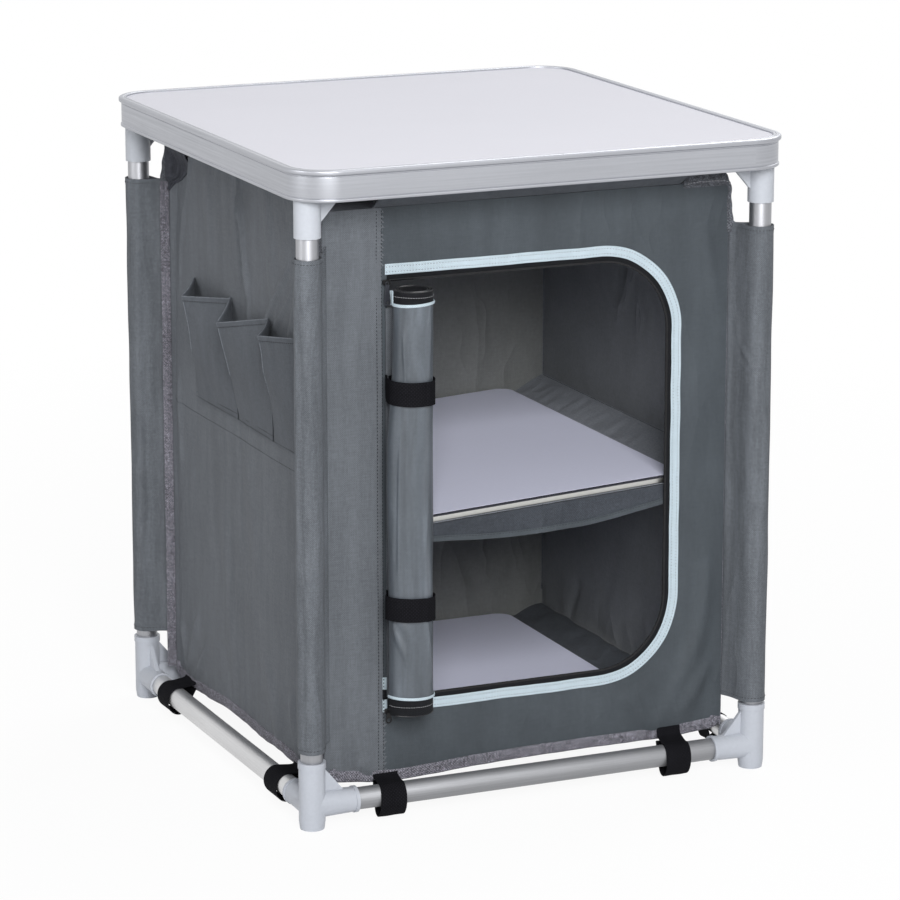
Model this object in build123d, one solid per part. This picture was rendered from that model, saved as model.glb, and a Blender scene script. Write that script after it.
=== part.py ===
from build123d import *
import math
import os

# Camping kitchen unit: a framed worktop on four tube legs, with a cloth cupboard hung between them.
# Millimetres. X runs across the front, Y from front to back, Z up. The front faces -Y.
# The origin is on the ground, in the middle of the four feet.

# Overall sizes
unit_height = 740.0
table_width = 594.0
table_depth = 618.0
table_corner_radius = 50.0
rim_height = 35.0
leg_spacing_x = 546.0
leg_spacing_y = 540.0
tube_diameter = 25.0
body_width = 494.0
body_depth = 486.0
body_bottom = 41.0
body_top = 684.0

# Worktop board and its metal rim
board_thickness = 12.0
lip_overlap = 9.0
lip_height = 6.0
lip_stand_out = 3.0
lip_cover = 2.0
skirt_wall = 1.8
bead_height = 3.5
bead_stand_out = 1.0
ledge_width = 3.0
ledge_thickness = 1.6
board_gap = 0.3
board_rebate = 0.5

# Tube frame
tube_wall = 1.2
tube_radius = tube_diameter / 2
socket_radius = 16.0
socket_low_edge = 663.0
leg_low_end = 8.0
leg_high_end = 716.0
moving_gap = 0.3
fixed_gap = 0.1
web_thickness = 5.0
upper_web_reach = 22.0
upper_web_drop = 26.0
flange_thickness = 4.0
flange_reach_x = 59.0
flange_reach_y = 34.0
flange_outward = 10.0
flange_radius = 8.0
screw_radius = 1.8
screw_head_radius = 4.0
screw_head_height = 2.5
screw_bite = 9.0
screw_offsets = ((-48.0, 10.0), (-48.0, -24.0), (-10.0, -26.0))
rail_height = 27.0
corner_high_edge = 77.0
corner_lip_height = 7.0
corner_lip_stand_out = 0.8
foot_taper_height = 9.0
foot_radius = 14.3
arm_radius = 15.2
arm_reach = 52.0
arm_ring_width = 4.0
arm_ring_radius = 16.2
arm_bore_start = 20.0
lower_web_top = 67.0
lower_web_reach = 37.0

# Cloth cupboard
cloth = 1.6
side_bulge = 3.0
wall_flat_end = 20.0
hem_corner_radius = 15.0
hem_rise = 1.0
hem_dip = 5.0
strap_place = 177.0
strap_width = 30.0
strap_thickness = 1.5
strap_slack = 1.2
hem_overlap = 7.0
sleeve_radius = 15.5
sleeve_bore = 13.0
sleeve_low_edge = 84.0
sleeve_high_edge = 636.0
sleeve_tip = 3.0
flap_half_length = 186.0
flap_out = 42.0
flap_rise = 29.0
roof_height = 680.0
floor_top = 50.8

# Door opening, its light binding and the zip tape inside it
seam_x = -172.5
opening_right = 189.0
opening_top = 621.0
opening_bottom = 112.0
opening_radius = 100.0
piping_width = 11.0
piping_thickness = 1.0
tape_width = 8.0
tape_cover = 4.0

# Rolled-up door
roll_radius = 22.5
roll_low_end = 119.0
roll_high_end = 597.0
roll_turns = 3
roll_pitch = 2.6
roll_strip_low = 131.0
roll_strip_high = 571.0
roll_strap_low_edges = (217.0, 462.0)
roll_strap_height = 28.0
roll_gap = 2.5
roll_strap_gap = 0.2
roll_tab_gap = 2.4
seam_gap = 1.2

# Shelf boards and the cloth that carries them
shelf_width = 388.0
shelf_front = -236.0
shelf_rear = 238.0
shelf_radius = 20.0
shelf_thickness = 9.0
edging_height = 6.5
edging_wall = 2.5
middle_shelf_top = 339.6
middle_shelf_tilt = 3.3
lower_shelf_top = 60.0
sling_stitch_height = 363.0
sling_bend_gap = 4.0
sling_front_gap = 3.8
valance_front_gap = 2.4
valance_thickness = 1.4
valance_low_x = -20.0
valance_low = 299.0
valance_left = 319.5
valance_right = 333.0

# Side pockets, listed from the back towards the front
pocket_tops = (147.0, 28.0, -98.0, -220.0)
pocket_lows = (132.0, 4.0, -112.0, -215.0)
pocket_top_height = 540.0
pocket_low_height = 401.0
pocket_mouth_depth = 25.0
pocket_lip_drop = 13.0
pocket_lip_shift = 34.0
pocket_cloth = 1.2
pocket_seat = 3.4
pocket_gap = 2.0
pocket_thin_depth = 4.0

# Zip sliders and pulls
slider_width = 9.0
slider_height = 6.0
slider_thickness = 2.9
slider_stand_out = 4.5
slider_corner = 1.8
slider_pin_height = 2.2
slider_pin_stand_out = 1.2
upper_slider_low = 598.5
lower_slider_low = 112.0
upper_pull_length = 25.0
lower_pull_length = 13.0
upper_pull_hole = 1.5
lower_pull_hole = 2.2
pull_width = 7.5
pull_thickness = 1.2
pull_eye_radius = 2.0
pull_gap = 0.3
pull_pin_radius = 1.0

half_leg_x = leg_spacing_x / 2
half_leg_y = leg_spacing_y / 2
half_body_x = body_width / 2
half_body_y = body_depth / 2
pin_x = seam_x + 1.5
roll_centre_x = seam_x + roll_radius
roll_centre_y = -half_body_y - roll_gap - roll_radius
skirt_width = table_width - 2 * lip_stand_out
skirt_depth = table_depth - 2 * lip_stand_out
skirt_radius = table_corner_radius - lip_stand_out
opening_width = table_width - 2 * lip_overlap
opening_depth = table_depth - 2 * lip_overlap
opening_corner = table_corner_radius - lip_overlap
rim_low_edge = unit_height - rim_height
board_top = unit_height - lip_cover
board_bottom = board_top - board_thickness
corner_signs = {
    "front_left": (-1, -1),
    "front_right": (1, -1),
    "rear_left": (-1, 1),
    "rear_right": (1, 1),
}


def block(x0, x1, y0, y1, z0, z1):
    size = Box(x1 - x0, y1 - y0, z1 - z0)
    return Pos((x0 + x1) / 2, (y0 + y1) / 2, (z0 + z1) / 2) * size


def upright(radius, x, y, z0, z1):
    return Pos(x, y, (z0 + z1) / 2) * Cylinder(radius, z1 - z0)


def along_x(radius, x0, x1, y, z):
    return Pos((x0 + x1) / 2, y, z) * Rot(0, 90, 0) * Cylinder(radius, abs(x1 - x0))


def along_y(radius, x, y0, y1, z):
    return Pos(x, (y0 + y1) / 2, z) * Rot(90, 0, 0) * Cylinder(radius, abs(y1 - y0))


def rounded_plate(width, depth, radius, z0, z1):
    outline = RectangleRounded(width, depth, radius)
    return extrude(Pos(0, 0, z0) * outline, z1 - z0)


def rounded_ring(width, depth, radius, wall, z0, z1):
    outer = rounded_plate(width, depth, radius, z0, z1)
    inner = rounded_plate(width - 2 * wall, depth - 2 * wall, radius - wall, z0 - 1, z1 + 1)
    return outer - inner


def polygon_prism(points, plane, thickness):
    outline = make_face(Polyline(*points, close=True))
    return extrude(plane * outline, thickness, both=True)


# The rim is one bent profile: a skirt with a bead below, a lip over the board and a ledge under it.
def worktop_rim():
    lip_low = unit_height - lip_height
    lip = rounded_plate(table_width, table_depth, table_corner_radius, lip_low, unit_height)
    top_edges = lip.edges().group_by(Axis.Z)[-1]
    lip = fillet(top_edges, 3.0)
    lip -= rounded_plate(opening_width, opening_depth, opening_corner, lip_low - 1, unit_height + 1)
    hollow_width = skirt_width - 2 * skirt_wall
    hollow_depth = skirt_depth - 2 * skirt_wall
    hollow_radius = skirt_radius - skirt_wall
    lip -= rounded_plate(hollow_width, hollow_depth, hollow_radius, lip_low - 1, board_top - board_rebate)
    skirt = rounded_ring(skirt_width, skirt_depth, skirt_radius, skirt_wall, rim_low_edge, lip_low)
    bead_grow = 2 * bead_stand_out
    bead = rounded_ring(
        skirt_width + bead_grow,
        skirt_depth + bead_grow,
        skirt_radius + bead_stand_out,
        bead_stand_out + skirt_wall,
        rim_low_edge,
        rim_low_edge + bead_height,
    )
    ledge = rounded_ring(
        hollow_width,
        hollow_depth,
        hollow_radius,
        ledge_width,
        board_bottom - ledge_thickness,
        board_bottom,
    )
    for sx, sy in corner_signs.values():
        notch = upright(socket_radius + fixed_gap, sx * half_leg_x, sy * half_leg_y, rim_low_edge, board_bottom)
        ledge -= notch
    return lip + skirt + bead + ledge


# The board has a shallow rebate round its edge, which the lip of the rim lies in.
def worktop_panel():
    shrink = 2 * (skirt_wall + board_gap)
    corner = skirt_radius - skirt_wall - board_gap
    seat = board_top - board_rebate
    board = rounded_plate(skirt_width - shrink, skirt_depth - shrink, corner, board_bottom, seat)
    inset = 2 * fixed_gap
    board += rounded_plate(opening_width - inset, opening_depth - inset, opening_corner - fixed_gap, seat, board_top)
    for x, y in screw_places():
        board -= upright(screw_radius + fixed_gap, x, y, board_bottom - 1, board_bottom + screw_bite + 1)
    return board


# Each flange is held by one screw towards the front or back and two towards the middle.
def screw_places():
    places = []
    for sx, sy in corner_signs.values():
        for offset_x, offset_y in screw_offsets:
            places.append((sx * (half_leg_x + offset_x), sy * (half_leg_y + offset_y)))
    return places


def upper_socket(sx, sy):
    x = sx * half_leg_x
    y = sy * half_leg_y
    flange_low = board_bottom - flange_thickness
    shape = upright(socket_radius, x, y, socket_low_edge, board_bottom)
    flange_x = sorted((x + sx * flange_outward, x - sx * flange_reach_x))
    flange_y = sorted((y + sy * flange_outward, y - sy * flange_reach_y))
    flange = block(*flange_x, *flange_y, flange_low, board_bottom)
    flange = fillet(flange.edges().filter_by(Axis.Z), flange_radius)
    web_low = rim_low_edge - upper_web_drop
    slope = upper_web_reach / upper_web_drop
    web_reach = slope * (flange_low - web_low)
    web_foot = half_leg_x - socket_radius
    web_points = [
        (sx * half_leg_x, web_low),
        (sx * web_foot, web_low),
        (sx * (web_foot - web_reach), flange_low),
        (sx * half_leg_x, flange_low),
    ]
    web = polygon_prism(web_points, Plane.XZ.offset(-y), web_thickness / 2)
    shape = shape + flange + web
    shape -= upright(tube_radius + moving_gap, x, y, socket_low_edge - 1, leg_high_end)
    for hole_x, hole_y in screw_places():
        if hole_x * sx > 0 and hole_y * sy > 0:
            shape -= upright(screw_radius + fixed_gap, hole_x, hole_y, flange_low - 1, board_bottom + 1)
    return shape


def socket_screws():
    flange_low = board_bottom - flange_thickness
    screws = Compound([])
    for x, y in screw_places():
        shank = upright(screw_radius, x, y, flange_low, board_bottom + screw_bite)
        head = upright(screw_head_radius, x, y, flange_low - screw_head_height, flange_low)
        head = fillet(head.edges().group_by(Axis.Z)[0], 1.2)
        screws += shank + head
    return screws


def leg(sx, sy):
    x = sx * half_leg_x
    y = sy * half_leg_y
    tube = upright(tube_radius, x, y, leg_low_end, leg_high_end)
    return tube - upright(tube_radius - tube_wall, x, y, leg_low_end - 1, leg_high_end + 1)


# A moulded corner: an upright socket, two arms for the rails, and a web between each pair.
def lower_corner(sx, sy):
    x = sx * half_leg_x
    y = sy * half_leg_y
    shape = upright(socket_radius, x, y, foot_taper_height, corner_high_edge)
    lip_low = corner_high_edge - corner_lip_height
    shape += upright(socket_radius + corner_lip_stand_out, x, y, lip_low, corner_high_edge)
    foot_middle = foot_taper_height / 2
    foot = Cone(foot_radius, socket_radius, foot_taper_height)
    shape += Pos(x, y, foot_middle) * foot
    arm_end_x = x - sx * arm_reach
    arm_end_y = y - sy * arm_reach
    shape += along_x(arm_radius, x, arm_end_x, y, rail_height)
    shape += along_y(arm_radius, x, y, arm_end_y, rail_height)
    shape += along_x(arm_ring_radius, arm_end_x, arm_end_x + sx * arm_ring_width, y, rail_height)
    shape += along_y(arm_ring_radius, x, arm_end_y, arm_end_y + sy * arm_ring_width, rail_height)
    web_points_x = [
        (x, lower_web_top),
        (x - sx * socket_radius, lower_web_top),
        (x - sx * lower_web_reach, rail_height + arm_radius - 1),
        (x - sx * lower_web_reach, rail_height),
        (x, rail_height),
    ]
    shape += polygon_prism(web_points_x, Plane.XZ.offset(-y), web_thickness / 2)
    web_points_y = [
        (y, lower_web_top),
        (y - sy * socket_radius, lower_web_top),
        (y - sy * lower_web_reach, rail_height + arm_radius - 1),
        (y - sy * lower_web_reach, rail_height),
        (y, rail_height),
    ]
    shape += polygon_prism(web_points_y, Plane.YZ.offset(x), web_thickness / 2)
    bore = tube_radius + fixed_gap
    shape -= upright(bore, x, y, leg_low_end, corner_high_edge + 1)
    shape -= along_x(bore, x - sx * arm_bore_start, arm_end_x - sx, y, rail_height)
    shape -= along_y(bore, x, y - sy * arm_bore_start, arm_end_y - sy, rail_height)
    return shape


def cross_rail(sy):
    y = sy * half_leg_y
    end = half_leg_x - arm_bore_start
    tube = along_x(tube_radius, -end, end, y, rail_height)
    return tube - along_x(tube_radius - tube_wall, -end - 1, end + 1, y, rail_height)


def side_rail(sx):
    x = sx * half_leg_x
    end = half_leg_y - arm_bore_start
    tube = along_y(tube_radius, x, -end, end, rail_height)
    return tube - along_y(tube_radius - tube_wall, x, -end - 1, end + 1, rail_height)


# The outline of a wall seen from outside: rounded low corners, and a hem drawn down at each strap.
def wall_outline(half):
    dip = body_bottom - hem_dip
    arc_top = body_bottom + hem_corner_radius
    arc_end = half - hem_corner_radius
    edges = [
        RadiusArc((-half, arc_top), (-arc_end, body_bottom), -hem_corner_radius),
        Line((-arc_end, body_bottom), (-strap_place, dip)),
        ThreePointArc((-strap_place, dip), (0, body_bottom + hem_rise), (strap_place, dip)),
        Line((strap_place, dip), (arc_end, body_bottom)),
        RadiusArc((arc_end, body_bottom), (half, arc_top), -hem_corner_radius),
        Line((half, arc_top), (half, body_top)),
        Line((half, body_top), (-half, body_top)),
        Line((-half, body_top), (-half, arc_top)),
    ]
    return make_face(Wire(edges))


# A hanging wall seen from above: flat ends, and two shallow bulges that meet at a crease in the middle.
def folded_line(half, shift):
    bend = half - wall_flat_end
    middle = side_bulge / 3
    return [
        Line((-half, shift), (-bend, shift)),
        ThreePointArc((-bend, shift), (-bend / 2, side_bulge + shift), (0, middle + shift)),
        ThreePointArc((0, middle + shift), (bend / 2, side_bulge + shift), (bend, shift)),
        Line((bend, shift), (half, shift)),
    ]


def folded_wall(half):
    ends = [Line((half, 0), (half, -cloth)), Line((-half, 0), (-half, -cloth))]
    plan = make_face(Wire(folded_line(half, 0) + folded_line(half, -cloth) + ends))
    outline = extrude(Plane.XZ * wall_outline(half), 4 * side_bulge, both=True)
    return extrude(plan, body_top) & outline


def rear_wall():
    return Pos(0, half_body_y, 0) * folded_wall(half_body_x)


def left_wall():
    return Pos(-half_body_x, 0, 0) * Rot(0, 0, 90) * folded_wall(half_body_y - cloth)


def right_wall():
    return Pos(half_body_x, 0, 0) * Rot(0, 0, -90) * folded_wall(half_body_y - cloth)


# The door's outline, square on the seam side and rounded on the other, drawn in by an inset.
def door_outline(inset, left):
    right = opening_right - inset
    top = opening_top - inset
    bottom = opening_bottom + inset
    radius = opening_radius - inset
    edges = [
        Line((left, bottom), (right - radius, bottom)),
        RadiusArc((right - radius, bottom), (right, bottom + radius), -radius),
        Line((right, bottom + radius), (right, top - radius)),
        RadiusArc((right, top - radius), (right - radius, top), -radius),
        Line((right - radius, top), (left, top)),
        Line((left, top), (left, bottom)),
    ]
    return make_face(Wire(edges))


def door_prism(inset, left, y0, y1):
    face = Plane.XZ.offset(-y1) * door_outline(inset, left)
    return extrude(face, y1 - y0)


def front_wall():
    face = Plane.XZ.offset(half_body_y - cloth) * wall_outline(half_body_x)
    wall = extrude(face, cloth)
    left = seam_x + 2 * seam_gap
    return wall - door_prism(piping_width - tape_cover, left, -half_body_y - 1, -half_body_y + cloth + 1)


def door_piping():
    y0 = -half_body_y - piping_thickness
    left = seam_x + slider_width
    outer = door_prism(0, left, y0, -half_body_y)
    return outer - door_prism(piping_width, left - 1, y0 - 1, -half_body_y + 1)


def door_zip_tape():
    y0 = -half_body_y
    y1 = -half_body_y + cloth
    left = seam_x + 2 * seam_gap
    outer = door_prism(piping_width - tape_cover, left, y0, y1)
    return outer - door_prism(piping_width + tape_width, left - 1, y0 - 1, y1 + 1)


def fabric_floor():
    x = half_body_x - 2 * cloth
    y = half_body_y - 2 * cloth
    return block(-x, x, -y, y, floor_top - cloth, floor_top)


def fabric_roof():
    x = half_body_x - 2 * cloth
    y = half_body_y - 2 * cloth
    return block(-x, x, -y, y, roof_height - cloth, roof_height)


# A top flap leans out from the edge of the cupboard to the underside of the worktop.
def top_flap():
    rise = math.hypot(flap_out, flap_rise)
    side_x = flap_rise / rise * cloth
    side_z = flap_out / rise * cloth
    points = [(0, 0), (flap_out, flap_rise), (flap_out - side_x, flap_rise + side_z), (-side_x, side_z)]
    return polygon_prism(points, Plane.YZ, flap_half_length)


# A cloth tunnel round a leg, drawn to a point at the corner seam of the cupboard.
def leg_sleeve(sx, sy):
    x = sx * half_leg_x
    y = sy * half_leg_y
    tip_x = sx * (half_body_x + 1.0)
    tip_y = sy * (half_body_y + 1.0)
    reach = math.hypot(x - tip_x, y - tip_y)
    taper = (sleeve_radius - sleeve_tip / 2) / reach
    touch_x = sleeve_radius * taper
    touch_y = sleeve_radius * math.sqrt(1 - taper**2)
    tip_touch_y = sleeve_tip / 2 * math.sqrt(1 - taper**2)
    tip_touch_x = reach + sleeve_tip / 2 * taper
    edges = [
        Line((touch_x, touch_y), (tip_touch_x, tip_touch_y)),
        Line((tip_touch_x, tip_touch_y), (tip_touch_x, -tip_touch_y)),
        Line((tip_touch_x, -tip_touch_y), (touch_x, -touch_y)),
        ThreePointArc((touch_x, -touch_y), (-sleeve_radius, 0), (touch_x, touch_y)),
    ]
    outline = make_face(Wire(edges)) - Circle(sleeve_bore)
    turn = math.degrees(math.atan2(tip_y - y, tip_x - x))
    sleeve = extrude(outline, sleeve_high_edge - sleeve_low_edge)
    return Pos(x, y, sleeve_low_edge) * Rot(0, 0, turn) * sleeve


# A strap is a loop of webbing: up from the hem, over the rail, round it and back to the hem.
def rail_strap(hem_distance):
    inner = tube_radius + moving_gap
    hem_z = body_bottom - hem_dip + hem_overlap - rail_height
    tip_y = hem_distance - 2 * strap_thickness
    shrink = (tip_y - 2 * strap_thickness) / tip_y
    outer = strap_loop(inner + strap_thickness, tip_y, hem_z, strap_thickness + strap_slack / 2)
    hollow = strap_loop(inner, tip_y * shrink, hem_z * shrink, strap_slack / 2)
    return extrude(outer, strap_width / 2, both=True) - extrude(hollow, strap_width, both=True)


# The outline of a loop round the rail, closing at a tip of the given half thickness.
def strap_loop(radius, tip_y, tip_z, half_tip):
    reach = math.hypot(tip_y, tip_z)
    taper = (radius - half_tip) / reach
    side = math.sqrt(1 - taper**2)
    turn = math.degrees(math.atan2(tip_z, tip_y))
    edges = [
        Line((radius * taper, radius * side), (reach + half_tip * taper, half_tip * side)),
        Line((reach + half_tip * taper, half_tip * side), (reach + half_tip * taper, -half_tip * side)),
        Line((reach + half_tip * taper, -half_tip * side), (radius * taper, -radius * side)),
        ThreePointArc((radius * taper, -radius * side), (-radius, 0), (radius * taper, radius * side)),
    ]
    return Plane.YZ * Rot(0, 0, turn) * make_face(Wire(edges))


def rail_straps():
    straps = {}
    turns = {"front": 0, "right": 90, "rear": 180, "left": 270}
    for side, turn in turns.items():
        reach = half_leg_x if side in ("left", "right") else half_leg_y
        wall = half_body_x if side in ("left", "right") else half_body_y
        bulge = 0 if side == "front" else side_bulge
        strap = rail_strap(reach - wall - bulge)
        for end, place in (("a", -strap_place), ("b", strap_place)):
            straps[f"rail_strap_{side}_{end}"] = Rot(0, 0, turn) * Pos(place, -reach, rail_height) * strap
    return straps


# A pocket tapers from a wide mouth to nothing at its low seam; its rear end stands out on a pleat.
def pocket(number):
    wall_x = -half_body_x - pocket_seat
    outer = pocket_body(number, wall_x, 0)
    return outer - pocket_body(number, wall_x - pocket_cloth, pocket_cloth)


def pocket_body(number, back_x, inset):
    rear = pocket_tops[number] - inset
    front = pocket_tops[number + 1] + pocket_gap + inset
    low_rear = pocket_lows[number] - inset
    low_front = pocket_lows[number + 1] + pocket_gap + inset
    lip_x = -half_body_x - pocket_seat - pocket_mouth_depth + inset
    lip_y = pocket_tops[number] - pocket_lip_shift - inset / 2
    thin_x = -half_body_x - pocket_seat - pocket_thin_depth + inset
    slope = pocket_lip_drop / pocket_mouth_depth
    wall_x = -half_body_x - pocket_seat

    def top_point(x, y):
        return (x, y, pocket_top_height - slope * (wall_x - x))

    low_height = pocket_low_height + 2 * inset
    top = [top_point(back_x, rear), top_point(lip_x, lip_y), top_point(thin_x, front), top_point(back_x, front)]
    low = [
        (back_x, low_rear, low_height),
        (thin_x, low_rear - pocket_thin_depth, low_height),
        (thin_x, low_front, low_height),
        (back_x, low_front, low_height),
    ]
    low_face = make_face(Polyline(*low, close=True))
    top_face = make_face(Polyline(*top, close=True))
    return loft([low_face, top_face], ruled=True)


# The rolled door in plan: half turns of shrinking radius, with a flat strip back to the seam.
def door_roll():
    outer = []
    inner = []
    radius = roll_radius
    start = -roll_radius
    for half_turn in range(2 * roll_turns):
        side = 1 if half_turn % 2 == 0 else -1
        centre = start + side * radius
        end = centre + side * radius
        thin = radius - cloth
        outer.append(ThreePointArc((start, 0), (centre, -side * radius), (end, 0)))
        inner.append(ThreePointArc((start + side * cloth, 0), (centre, -side * thin), (end - side * cloth, 0)))
        start = end
        radius -= roll_pitch / 2
    outside_cap = Line(inner[0] @ 0, outer[0] @ 0)
    inside_cap = Line(outer[-1] @ 1, inner[-1] @ 1)
    outline = make_face(Wire(outer + [inside_cap] + inner + [outside_cap]))
    coil = extrude(outline, roll_high_end - roll_low_end)
    coil = Pos(roll_centre_x, roll_centre_y, roll_low_end) * coil
    strip_end = -half_body_y - seam_gap
    strip = block(seam_x, seam_x + cloth, roll_centre_y, strip_end, roll_strip_low, roll_strip_high)
    return coil + strip


def roll_strap(low_edge):
    inner = roll_radius + roll_strap_gap
    outer = inner + strap_thickness
    high_edge = low_edge + roll_strap_height
    band = upright(outer, roll_centre_x, roll_centre_y, low_edge, high_edge)
    band -= upright(inner, roll_centre_x, roll_centre_y, low_edge - 1, high_edge + 1)
    strip_slot = (seam_x - roll_strap_gap, seam_x + cloth + roll_strap_gap)
    band -= block(*strip_slot, roll_centre_y, roll_centre_y + outer, low_edge, high_edge)
    tab_x = roll_centre_x - outer
    tab_end = -half_body_y - roll_tab_gap
    tab = block(tab_x, tab_x + strap_thickness, roll_centre_y, tab_end, low_edge, high_edge)
    return band + tab


def shelf_board(top):
    width = shelf_width
    depth = shelf_rear - shelf_front
    board = rounded_plate(width, depth, shelf_radius, top - shelf_thickness, top)
    step = edging_wall + fixed_gap
    low = top - shelf_thickness - 1
    high = top - shelf_thickness + edging_height
    core = rounded_plate(width - 2 * step, depth - 2 * step, shelf_radius - step, low, high)
    rebate = rounded_plate(width + 2, depth + 2, shelf_radius, low, high) - core
    return Pos(0, (shelf_front + shelf_rear) / 2, 0) * (board - rebate)


def shelf_edging(top):
    depth = shelf_rear - shelf_front
    low = top - shelf_thickness
    ring = rounded_ring(shelf_width, depth, shelf_radius, edging_wall, low, low + edging_height)
    return Pos(0, (shelf_front + shelf_rear) / 2, 0) * ring


# The middle shelf hangs a little lower on its left side.
def tilted(shape):
    return Pos(0, 0, middle_shelf_top) * Rot(0, -middle_shelf_tilt, 0) * Pos(0, 0, -middle_shelf_top) * shape


# The height of the cloth under the tilted board.
def sling_height(x):
    drop = shelf_thickness + moving_gap
    return middle_shelf_top - drop + x * math.tan(math.radians(middle_shelf_tilt))


# The shelf cloth seen from the front: under the board, and sloping up to a stitch line on each side wall.
def sling_points():
    reach = half_body_x - 2 * cloth
    bend = shelf_width / 2 + sling_bend_gap
    return [
        (-reach, sling_stitch_height),
        (-bend, sling_height(-bend)),
        (bend, sling_height(bend)),
        (reach, sling_stitch_height),
    ]


def shelf_sling():
    top = sling_points()
    low = [(x, z - cloth) for x, z in reversed(top)]
    front = -half_body_y + sling_front_gap
    back = half_body_y - 2 * cloth
    outline = make_face(Polyline(*(top + low), close=True))
    return extrude(Plane.XZ.offset(-back) * outline, back - front)


def shelf_valance():
    far_left, left, right, far_right = sling_points()
    low_left = (far_left[0], valance_left)
    low_right = (far_right[0], valance_right)
    edges = [
        ThreePointArc(low_left, (valance_low_x, valance_low), low_right),
        Line(low_right, far_right),
        Line(far_right, right),
        Line(right, left),
        Line(left, far_left),
        Line(far_left, low_left),
    ]
    back = -half_body_y + valance_front_gap + valance_thickness
    return extrude(Plane.XZ.offset(-back) * make_face(Wire(edges)), valance_thickness)


# A slider is a small rounded body with a bridge pin that its pull hangs from.
def zip_slider(low_edge):
    low_x = pin_x - slider_width / 2
    front = -half_body_y - slider_thickness
    back = -half_body_y - 0.05
    body = block(low_x, low_x + slider_width, front, back, low_edge, low_edge + slider_height)
    body = fillet(body.edges().filter_by(Axis.Y), slider_corner)
    pin_end = -half_body_y - slider_stand_out - slider_pin_stand_out
    return body + along_y(pull_pin_radius, pin_x, pin_end, front + 0.1, low_edge + slider_pin_height)


def zip_pull(low_edge, length, hole_radius):
    half = pull_width / 2
    eye = pull_eye_radius
    pin_z = low_edge + slider_pin_height
    y1 = -half_body_y - slider_thickness - pull_gap
    y0 = y1 - pull_thickness
    end_z = pin_z - length + half
    edges = [
        Line((pin_x - eye, pin_z), (pin_x - half, end_z)),
        ThreePointArc((pin_x - half, end_z), (pin_x, end_z - half), (pin_x + half, end_z)),
        Line((pin_x + half, end_z), (pin_x + eye, pin_z)),
        ThreePointArc((pin_x + eye, pin_z), (pin_x, pin_z + eye), (pin_x - eye, pin_z)),
    ]
    plate = extrude(Plane.XZ.offset(-y1) * make_face(Wire(edges)), pull_thickness)
    plate -= along_y(pull_pin_radius + pull_gap, pin_x, y0 - 1, y1 + 1, pin_z)
    plate -= along_y(hole_radius, pin_x, y0 - 1, y1 + 1, end_z)
    return plate


def all_parts():
    parts = {
        "worktop_rim": worktop_rim(),
        "worktop_panel": worktop_panel(),
        "socket_screws": socket_screws(),
        "front_rail": cross_rail(-1),
        "rear_rail": cross_rail(1),
        "left_rail": side_rail(-1),
        "right_rail": side_rail(1),
        "front_wall": front_wall(),
        "rear_wall": rear_wall(),
        "left_wall": left_wall(),
        "right_wall": right_wall(),
        "fabric_floor": fabric_floor(),
        "fabric_roof": fabric_roof(),
        "door_piping": door_piping(),
        "door_zip_tape": door_zip_tape(),
        "door_roll": door_roll(),
        "roll_strap_lower": roll_strap(roll_strap_low_edges[0]),
        "roll_strap_upper": roll_strap(roll_strap_low_edges[1]),
        "zip_sliders": zip_slider(upper_slider_low) + zip_slider(lower_slider_low),
        "zip_pull_upper": zip_pull(upper_slider_low, upper_pull_length, upper_pull_hole),
        "zip_pull_lower": zip_pull(lower_slider_low, lower_pull_length, lower_pull_hole),
        "middle_shelf_board": tilted(shelf_board(middle_shelf_top)),
        "middle_shelf_edging": tilted(shelf_edging(middle_shelf_top)),
        "lower_shelf_board": shelf_board(lower_shelf_top),
        "lower_shelf_edging": shelf_edging(lower_shelf_top),
        "shelf_sling": shelf_sling(),
        "shelf_valance": shelf_valance(),
    }
    for place, (sx, sy) in corner_signs.items():
        parts[f"upper_socket_{place}"] = upper_socket(sx, sy)
        parts[f"leg_{place}"] = leg(sx, sy)
        parts[f"lower_corner_{place}"] = lower_corner(sx, sy)
        parts[f"leg_sleeve_{place}"] = leg_sleeve(sx, sy)
    parts.update(rail_straps())
    for number, place in enumerate(("rear", "middle", "front")):
        parts[f"pocket_{place}"] = pocket(number)
    flap = top_flap()
    flap_turns = {"front": (0, half_body_y), "right": (90, half_body_x), "rear": (180, half_body_y),
                  "left": (270, half_body_x)}
    for side, (turn, reach) in flap_turns.items():
        parts[f"top_flap_{side}"] = Rot(0, 0, turn) * Pos(0, -reach, body_top + 0.2) * Rot(0, 0, 180) * flap
    return parts


os.makedirs("parts", exist_ok=True)
for name, shape in all_parts().items():
    export_step(shape, f"parts/{name}.step")
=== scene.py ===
import math

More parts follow.
